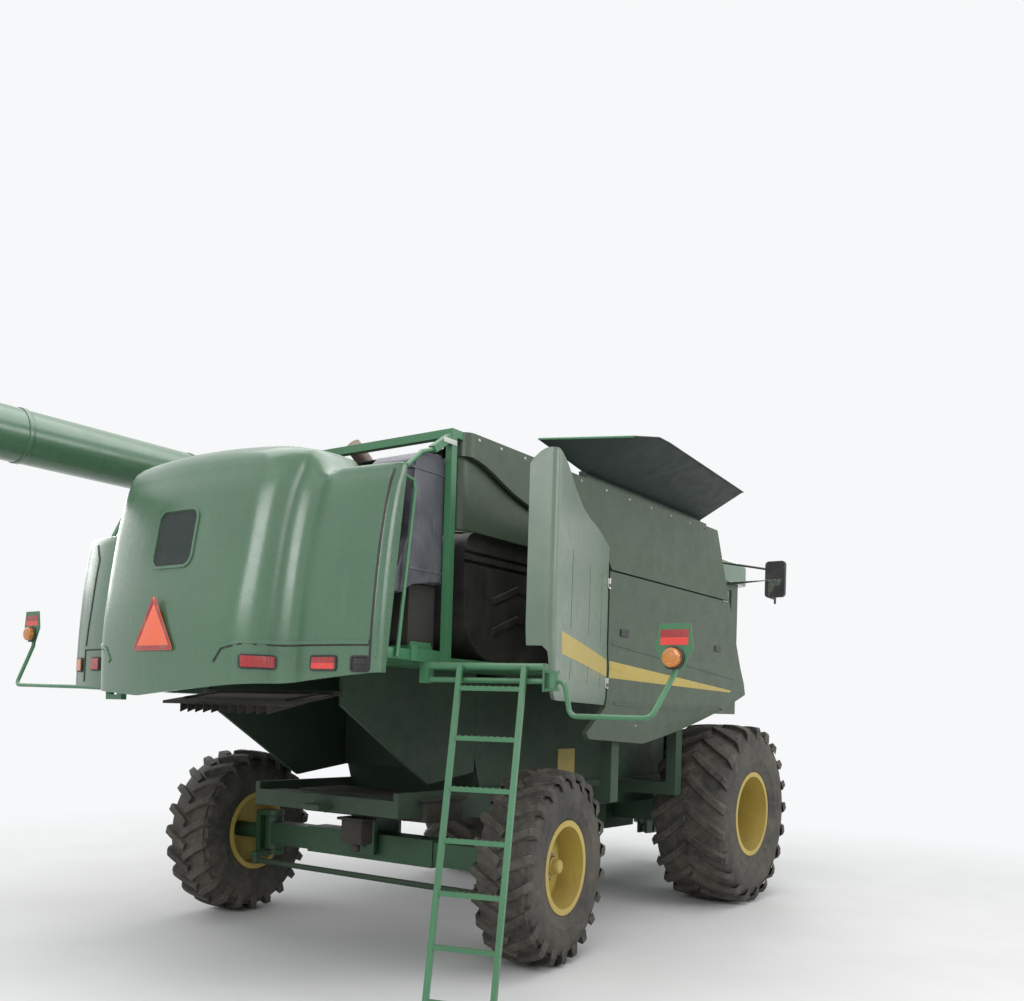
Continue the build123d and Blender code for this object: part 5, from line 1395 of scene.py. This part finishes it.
# Over the rear axle: a ribbed box with its lid, and the hitch with its pin
def boxes(build, rows):
    """Boxes given as two corners and a bevel, by stations ahead of the front axle."""
    for low, high, bevel in rows:
        build.box(at(*low), at(*high), bevel)


build = Build()
boxes(build, [((-4.020, -0.840, 1.010), (-3.560, 0.510, 1.190), 0.020),
              ((-4.060, -0.860, 1.175), (-3.540, 0.530, 1.200), 0.006)])
boxes(build, [((-4.034, y - 0.012, 1.012), (-4.018, y + 0.012, 1.170), 0.003) for y in (-0.62, -0.20, 0.24)])
build.done("axle_top_box", GRIME_AND_SHADE)
build = Build()
boxes(build, [((-4.170, -0.300, 0.800), (-4.035, -0.080, 1.000), 0.012),
              ((-4.190, -0.330, 0.990), (-4.025, -0.050, 1.012), 0.004)])
build.tube([at(-4.110, -0.190, 0.740), at(-4.110, -0.190, 0.82)], 0.038, 16)
build.done("hitch_bracket", GRIME_AND_SHADE)


# The straw board under the hood, with its fanned vanes
BOARD_FRONT, BOARD_REAR, BOARD_TOP, BOARD_LOW = -4.900, -5.330, 1.955, 1.880
VANE_HALF_COUNT, VANE_PITCH, VANE_FAN = 5, 0.118, math.radians(3.6)
build = Build()
x0, x1, top, low = BOARD_FRONT, BOARD_REAR, BOARD_TOP, BOARD_LOW
side_prism(build, [(x0, top), (x0, top + 0.022), (x1, low + 0.022), (x1, low)], -0.680, 0.680, 0.003)
build.box(at(x0 - 0.012, -0.740, top + 0.010), at(x0 + 0.014, 0.740, 2.000), 0.003)
blade = [(0.0, top - 0.004), (x1 + 0.03 - x0, low + 0.004), (x1 + 0.03 - x0, low - 0.060),
         (-0.14, top - 0.060)]
for step in range(-VANE_HALF_COUNT, VANE_HALF_COUNT + 1):
    turn = Matrix.Translation(at(x0 - 0.05, step * VANE_PITCH, 0)) @ Matrix.Rotation(step * VANE_FAN, 4, "Z")
    build.prism(blade, 0.006, turn @ Matrix(((1, 0, 0, 0), (0, 0, 1, -0.003), (0, 1, 0, 0), (0, 0, 0, 1))))
for y in (-0.55, 0.55):
    build.tube([at(x0 - 0.03, y, top + 0.02), at(x1 + 0.10, y, low + 0.045)], 0.012, 10)
board = build.done("straw_board", GRIME_AND_SHADE)
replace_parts(board, "chopper_tailboard")


# Cab: padded seat with its base, console and wheel
def dimple(distance, width):
    """One at a seam's middle, falling off to both sides."""
    return math.exp(-(distance / width) ** 2)


def pad_form(name, middle, size, lean):
    """A crowned cushion: a closed form fuller in its middle, its sides drawn in between the corners."""
    soup = bmesh.new()
    bmesh.ops.create_cube(soup, size=1.0)
    bmesh.ops.subdivide_edges(soup, edges=soup.edges[:], cuts=14, use_grid_fill=True)
    for v in soup.verts:
        x, y, z = (2 * c for c in v.co)
        draw = 1.0 - 0.055 * (1 - y * y) * abs(x) ** 6
        pull = 1.0 - 0.055 * (1 - x * x) * abs(y) ** 6
        crown = 0.72 + 0.28 * (1 - abs(x) ** 3.2) * (1 - abs(y) ** 3.2)
        corner = 1.0 - 0.10 * (abs(x) ** 8) * (abs(y) ** 8)
        rounding = 1.0 - 0.06 * abs(z) ** 6 * max(abs(x), abs(y)) ** 4
        seam = 0.045 * dimple(abs(y) - 0.46, 0.035) + 0.03 * dimple(x - 0.12, 0.035) * (abs(y) < 0.46)
        v.co = Vector((x * draw * corner * rounding * size[0] / 2, y * pull * corner * rounding * size[1] / 2,
                       z * (crown - seam) * size[2] / 2))
    turn = Matrix.Translation(middle) @ Matrix.Rotation(math.radians(lean), 4, "Y")
    bmesh.ops.transform(soup, matrix=turn, verts=soup.verts)
    data = bpy.data.meshes.new(name)
    soup.to_mesh(data)
    soup.free()
    piece = finish_piece(name, data, CLOTH, angle=75)
    puff(piece, 0.010)


def puff(piece, cap):
    """Swells a pad by a short cloth run, with each point kept within a cap of its place."""
    remesh = piece.modifiers.new("even", "REMESH")
    remesh.mode = "VOXEL"
    remesh.voxel_size = 0.006
    depsgraph = bpy.context.evaluated_depsgraph_get()
    fine = bpy.data.meshes.new_from_object(piece.evaluated_get(depsgraph))
    look = piece.data.materials[0]
    piece.modifiers.clear()
    piece.data = fine
    if not fine.materials:
        fine.materials.append(look)
    rest = [v.co.copy() for v in fine.vertices]
    cloth = piece.modifiers.new("cloth", "CLOTH")
    cloth.settings.use_pressure = True
    cloth.settings.uniform_pressure_force = 4.0
    cloth.settings.effector_weights.gravity = 0.0
    cloth.point_cache.frame_start = 1
    cloth.point_cache.frame_end = 20
    scene = bpy.context.scene
    for step in range(1, 21):
        scene.frame_set(step)
    depsgraph = bpy.context.evaluated_depsgraph_get()
    swollen = [v.co.copy() for v in piece.evaluated_get(depsgraph).data.vertices]
    piece.modifiers.clear()
    scene.frame_set(1)
    if len(swollen) == len(rest):
        for vertex, before, after in zip(fine.vertices, rest, swollen):
            move = after - before
            if move.length > cap:
                move *= cap / move.length
            vertex.co = before + move
    fine.update()
    fine.shade_smooth()
    finer = piece.modifiers.new("smooth", "SUBSURF")
    finer.levels = finer.render_levels = 1


pad_form("seat_cushion", at(0.930, 0.0, 2.412), (0.520, 0.500, 0.130), -3)
pad_form("seat_back", at(0.680, 0.0, 2.745), (0.520, 0.470, 0.120), -83)
pad_form("seat_headrest", at(0.668, 0.0, 3.045), (0.150, 0.280, 0.095), -86)

FOLDS, FOLD_TALL = 6, 0.042
build = Build()
boxes(build, [((0.700, -0.200, 2.012), (1.080, 0.200, 2.060), 0.012)])
for k in range(FOLDS):
    inset = 0.010 if k % 2 else 0.0
    boxes(build, [((0.730 + inset, -0.180 + inset, 2.058 + FOLD_TALL * k),
                   (1.060 - inset, 0.180 - inset, 2.102 + FOLD_TALL * k), 0.008)])
boxes(build, [((0.680, -0.240, 2.305), (1.180, 0.240, 2.350), 0.014),
              ((0.612, -0.225, 2.440), (0.650, 0.225, 2.985), 0.016),
              ((0.750, -0.438, 2.462), (1.250, -0.292, 2.560), 0.020),
              ((0.800, -0.430, 2.330), (1.050, -0.262, 2.465), 0.016)])
build.tube([at(1.180, -0.365, 2.555), at(1.190, -0.365, 2.625)], 0.011, 12)
boxes(build, [((1.165, -0.392, 2.600), (1.225, -0.338, 2.690), 0.016)])
for k in range(4):
    build.lathe([(0.010, 0.0), (0.010, 0.006), (0.0, 0.007)], 12,
                Matrix.Translation(at(0.86 + 0.05 * k, -0.365, 2.559)))
base = build.done("seat_base", TRIM)
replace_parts(base, "cab_seat")

COLUMN_FOOT, COLUMN_HEAD = Vector(at(1.630, 0, 2.012)), Vector(at(1.492, 0, 2.725))
WHEEL_RADIUS = 0.190
build = Build()
column = COLUMN_HEAD - COLUMN_FOOT
build.lathe([(0.062, 0.0), (0.062, 0.050), (0.046, 0.085), (0.040, 0.30)], 28, frame_at(COLUMN_FOOT, column))
build.tube([COLUMN_FOOT + column * 0.3, COLUMN_HEAD - column * 0.06], 0.032, 18)
wheel = frame_at(COLUMN_HEAD, (-0.21, 0, 0.98), (1, 0, 0))
ring = [wheel @ Vector((x, y, 0.0)) for x, y in circle(WHEEL_RADIUS, 56)]
build.tube(ring + ring[:1], 0.014, 12, caps=False)
for angle in (90, 210, 330):
    a = math.radians(angle)
    spoke = ((0.03, -0.018), (0.10, -0.014), (0.186, 0.0))
    build.tube([wheel @ Vector((r * math.cos(a), r * math.sin(a), z)) for r, z in spoke], 0.010, 10)
build.lathe([(0.046, -0.035), (0.050, -0.012), (0.040, 0.004), (0.0, 0.008)], 28, wheel)
build.done("steering_wheel", TRIM)


# Cab roof lamps, mirror glass and door seal
LAMP_HEIGHT = 3.690
build = Build()
glasses = Build()
for x, ys, out in ((2.318, (-0.66, -0.40, 0.40, 0.66), 1), (0.252, (-0.55, 0.55), -1)):
    for y in ys:
        seat = frame_at(at(x, y, LAMP_HEIGHT), (out, 0, 0))
        build.lathe([(0.060, -0.020), (0.062, 0.014), (0.054, 0.018), (0.051, 0.010)], 32, seat, closed=True)
        glasses.lathe([(0.051, 0.004), (0.036, 0.012), (0.018, 0.015), (0.0, 0.016)], 32, seat)
build.done("roof_lamp_rims", TRIM)
glasses.done("roof_lamp_glass", CLEAR)
mirror_skin = Skin(nodes["mirrors"])
build = Build()
for side in (-1, 1):
    mirror_skin.patch(build, "rear", (side * 1.800, side * 1.940), (3.180, 3.620), 0.003, (2, 2))
build.done("mirror_glass", CHROME)
build = Build()
edge = [(0.500, 2.10), (0.500, 3.44), (1.385, 3.44), (1.385, 2.10), (0.500, 2.10)]
Skin(nodes["cab_door"]).strip(build, "left", edge, 0.016, 0.004)
build.done("door_seal", RUBBER, "cab_entry")


# Auger bands, pipe clamps, tank cap and feeder ribs
AUGER_Y, AUGER_Z = 1.985, 3.960
BAND = ((0.2150, -0.022), (0.2210, -0.022), (0.2225, -0.018), (0.2225, 0.018), (0.2210, 0.022),
        (0.2150, 0.022))
build = Build()
for x in (-1.10, -2.60, -4.20, -5.80):
    build.lathe(BAND, 56, frame_at(at(x, AUGER_Y, AUGER_Z), (1, 0, 0)), closed=True)
build.done("auger_bands", GREEN, "auger")
PIPE_X, PIPE_Y = -3.560, 0.330
CLAMP = ((0.1300, -0.012), (0.1360, -0.012), (0.1360, 0.012), (0.1300, 0.012))
build = Build()
for z in (3.42, 3.70):
    build.lathe(CLAMP, 40, Matrix.Translation(at(PIPE_X, PIPE_Y, z)), closed=True)
    boxes(build, [((PIPE_X - 0.010, 0.180, z - 0.014), (PIPE_X + 0.010, 0.205, z + 0.014), 0.003)])
build.done("pipe_clamps", STEEL)
point, normal = Skin(nodes["fuel_tank"]).hit("top", -4.30, -1.28)
CAP = ((0.052, -0.002), (0.052, 0.018), (0.046, 0.026), (0.046, 0.040), (0.038, 0.046), (0.0, 0.047))
build = Build()
build.lathe(CAP, 30, frame_at(point, normal))
for x, y in circle(0.044, 12):
    grip = point + Vector((x, y, 0.031))
    build.box([c - d for c, d in zip(grip, (0.004, 0.004, 0.009))],
              [c + d for c, d in zip(grip, (0.004, 0.004, 0.009))], 0.001)
build.done("tank_cap", TRIM)
feeder = Skin(nodes["feeder_house"])
for way in ("right", "left"):
    build = Build()
    for share in (0.25, 0.5, 0.75):
        x = 0.65 + 1.75 * share
        feeder.strip(build, way, [(x - 0.06, 1.30 - 0.55 * share), (x + 0.03, 1.60 - 0.34 * share)], 0.035,
                     0.012)
    for k in range(6):
        feeder.bolt(build, way, 0.80 + 0.28 * k, 1.52 - 0.082 * k, 0.018)
    build.done(f"feeder_ribs_{way}", GREEN, "feeder", angle=50)


# Looks of the CAD nodes

LOOKS = {
    AXLE: ["rear_axle", "knuckle_right", "knuckle_left", "front_axle"],
    GREEN: ["rear_hood", "cab_roof", "auger_elbow", "auger_tube", "feeder_house"],
    SIDE: ["upper_panels", "lower_panels", "shield_right", "shield_left", "grain_tank", "cab_shell"],
    BRIGHT: ["rear_ladder", "warning_arm_right", "warning_arm_left", "engine_bay",
             "lift_barrel_right", "lift_barrel_left"],
    SHADED_GREEN: ["main_frame", "tank_outriggers", "separator_body", "discharge_chute", "tie_rod",
            "chopper_tailboard", "cooling_box"],
    FLAP_SHADE: ["tank_flap_front", "tank_flap_rear", "tank_flap_right", "tank_flap_left"],
    BLACK: ["operator_platform", "entry_ladder", "cab_door"],
    GRIME_AND_SHADE: ["engine"],
    PIPE: ["exhaust_stack"],
    PUNCHED: ["rotary_screen"],
    TANK: ["fuel_tank"],
    DUCT: ["air_duct"],
    TRIM: ["mirrors"],
    RUBBER: ["auger_spout"],
    CHROME: ["lift_rod_right", "lift_rod_left"],
    GLASS: ["cab_glass", "door_glass"],
    RED: ["red_lenses"],
    AMBER: ["amber_lenses", "arm_lamp_right", "arm_lamp_left"],
    ORANGE: ["smv_triangle"],
    CLOTH: ["cab_seat"],
    YELLOW: ["front_rim_right", "front_rim_left", "rear_rim_right", "rear_rim_left"],
}
for look, names in LOOKS.items():
    for name in names:
        if name in nodes:
            slots = nodes[name].material_slots
            if not slots:
                nodes[name].data.materials.append(look)
            for place in slots:
                place.material = look


# Floor, backdrop, light and camera

def floor_look():
    """A pale floor that thins out to nothing away from the machine, so that no edge of it shows."""
    look = Look("pale_floor", Roughness=0.7, Specular_IOR_Level=0.2)
    grain = look.noise(0.7, 6.0, 0.6)
    look.color(look.mix(look.ramp(grain, 0.3, 0.7), (0.66, 0.66, 0.65), (0.70, 0.70, 0.69)))
    look.bump([(look.noise(40.0, 4.0), 0.001)], 0.15)
    far = look.add("ShaderNodeVectorMath", operation="LENGTH")
    look.join(look.place, far.inputs[0])
    clear = look.add("ShaderNodeBsdfTransparent")
    blend = look.add("ShaderNodeMixShader")
    look.join(look.ramp(far.outputs["Value"], 5.0, 11.0), blend.inputs[0])
    look.join(look.shader.outputs[0], blend.inputs[1])
    look.join(clear.outputs[0], blend.inputs[2])
    look.join(blend.outputs[0], look.tree.nodes["Material Output"].inputs["Surface"])
    return look.material


FLOOR_REACH = 14.0
floor = bpy.data.meshes.new("floor")
square = [(x * FLOOR_REACH, y * FLOOR_REACH, 0) for x, y in ((-1, -1), (1, -1), (1, 1), (-1, 1))]
floor.from_pydata(square, [], [(0, 1, 2, 3)])
floor.materials.append(floor_look())
floor_piece = bpy.data.objects.new("floor", floor)
bpy.context.scene.collection.objects.link(floor_piece)
floor_piece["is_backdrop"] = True

world = bpy.data.worlds.new("studio")
bpy.context.scene.world = world
world.use_nodes = True
sky = world.node_tree
sky.nodes.clear()


def backdrop(color, strength):
    node = sky.nodes.new("ShaderNodeBackground")
    node.inputs["Color"].default_value = (*color, 1)
    node.inputs["Strength"].default_value = strength
    return node.outputs[0]


ray = sky.nodes.new("ShaderNodeLightPath")
shown = ray.outputs["Is Camera Ray"]
for kind in ("Is Glossy Ray", "Is Transmission Ray"):
    either = sky.nodes.new("ShaderNodeMath")
    either.operation = "MAXIMUM"
    sky.links.new(shown, either.inputs[0])
    sky.links.new(ray.outputs[kind], either.inputs[1])
    shown = either.outputs[0]
blend = sky.nodes.new("ShaderNodeMixShader")
sky.links.new(shown, blend.inputs[0])
sky.links.new(backdrop((0.95, 0.97, 1.0), 0.62), blend.inputs[1])
sky.links.new(backdrop((0.93, 0.94, 0.95), 1.0), blend.inputs[2])
sky.links.new(blend.outputs[0], sky.nodes.new("ShaderNodeOutputWorld").inputs[0])


def lamp(name, place, target, size, power):
    data = bpy.data.lights.new(name, "AREA")
    data.shape = "RECTANGLE"
    data.size, data.size_y = size
    data.energy = power
    lamp_object = bpy.data.objects.new(name, data)
    lamp_object.location = place
    lamp_object.rotation_mode = "QUATERNION"
    lamp_object.rotation_quaternion = (Vector(target) - Vector(place)).to_track_quat("-Z", "Y")
    bpy.context.scene.collection.objects.link(lamp_object)


lamp("overhead", (-1.0, -1.0, 10.5), (0, 0, 1.5), (12, 8), 780)
lamp("behind", (-12.5, -5.0, 7.0), (-2, 0, 2), (7, 4), 480)
lamp("right", (2.0, -12.0, 6.0), (0, 0, 1.5), (8, 4), 380)
lamp("front", (12.0, 4.0, 7.0), (1, 0, 2), (7, 4), 330)
lamp("left", (-1.0, 12.0, 6.5), (0, 0, 2), (8, 4), 330)

# The camera that was worked out from the wheels, the posts and the ground line
YAW, PITCH, ROLL = math.radians(34.90), math.radians(1.0), math.radians(1.65)
EYE_PLACE = (-8.04, -5.905, 1.873)
right = Vector((math.sin(YAW), -math.cos(YAW), 0))
ahead = Vector((math.cos(PITCH) * math.cos(YAW), math.cos(PITCH) * math.sin(YAW), math.sin(PITCH)))
up = right.cross(ahead)
right_rolled = right * math.cos(ROLL) + up * math.sin(ROLL)
up_rolled = up * math.cos(ROLL) - right * math.sin(ROLL)
camera = bpy.data.cameras.new("camera")
camera.sensor_fit = "HORIZONTAL"
camera.sensor_width = 36.0
camera.lens = 36.2
camera.shift_y = 0.191
camera.clip_end = 200.0
eye = bpy.data.objects.new("camera", camera)
turn = Matrix((right_rolled, up_rolled, -ahead)).transposed().to_4x4()
eye.matrix_world = Matrix.Translation(EYE_PLACE) @ turn
bpy.context.scene.collection.objects.link(eye)
bpy.context.scene.camera = eye
bpy.context.scene.view_settings.view_transform = "Standard"

boxes = {"cad": [list(v) for v in cad_box], "visual": [list(v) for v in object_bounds()]}
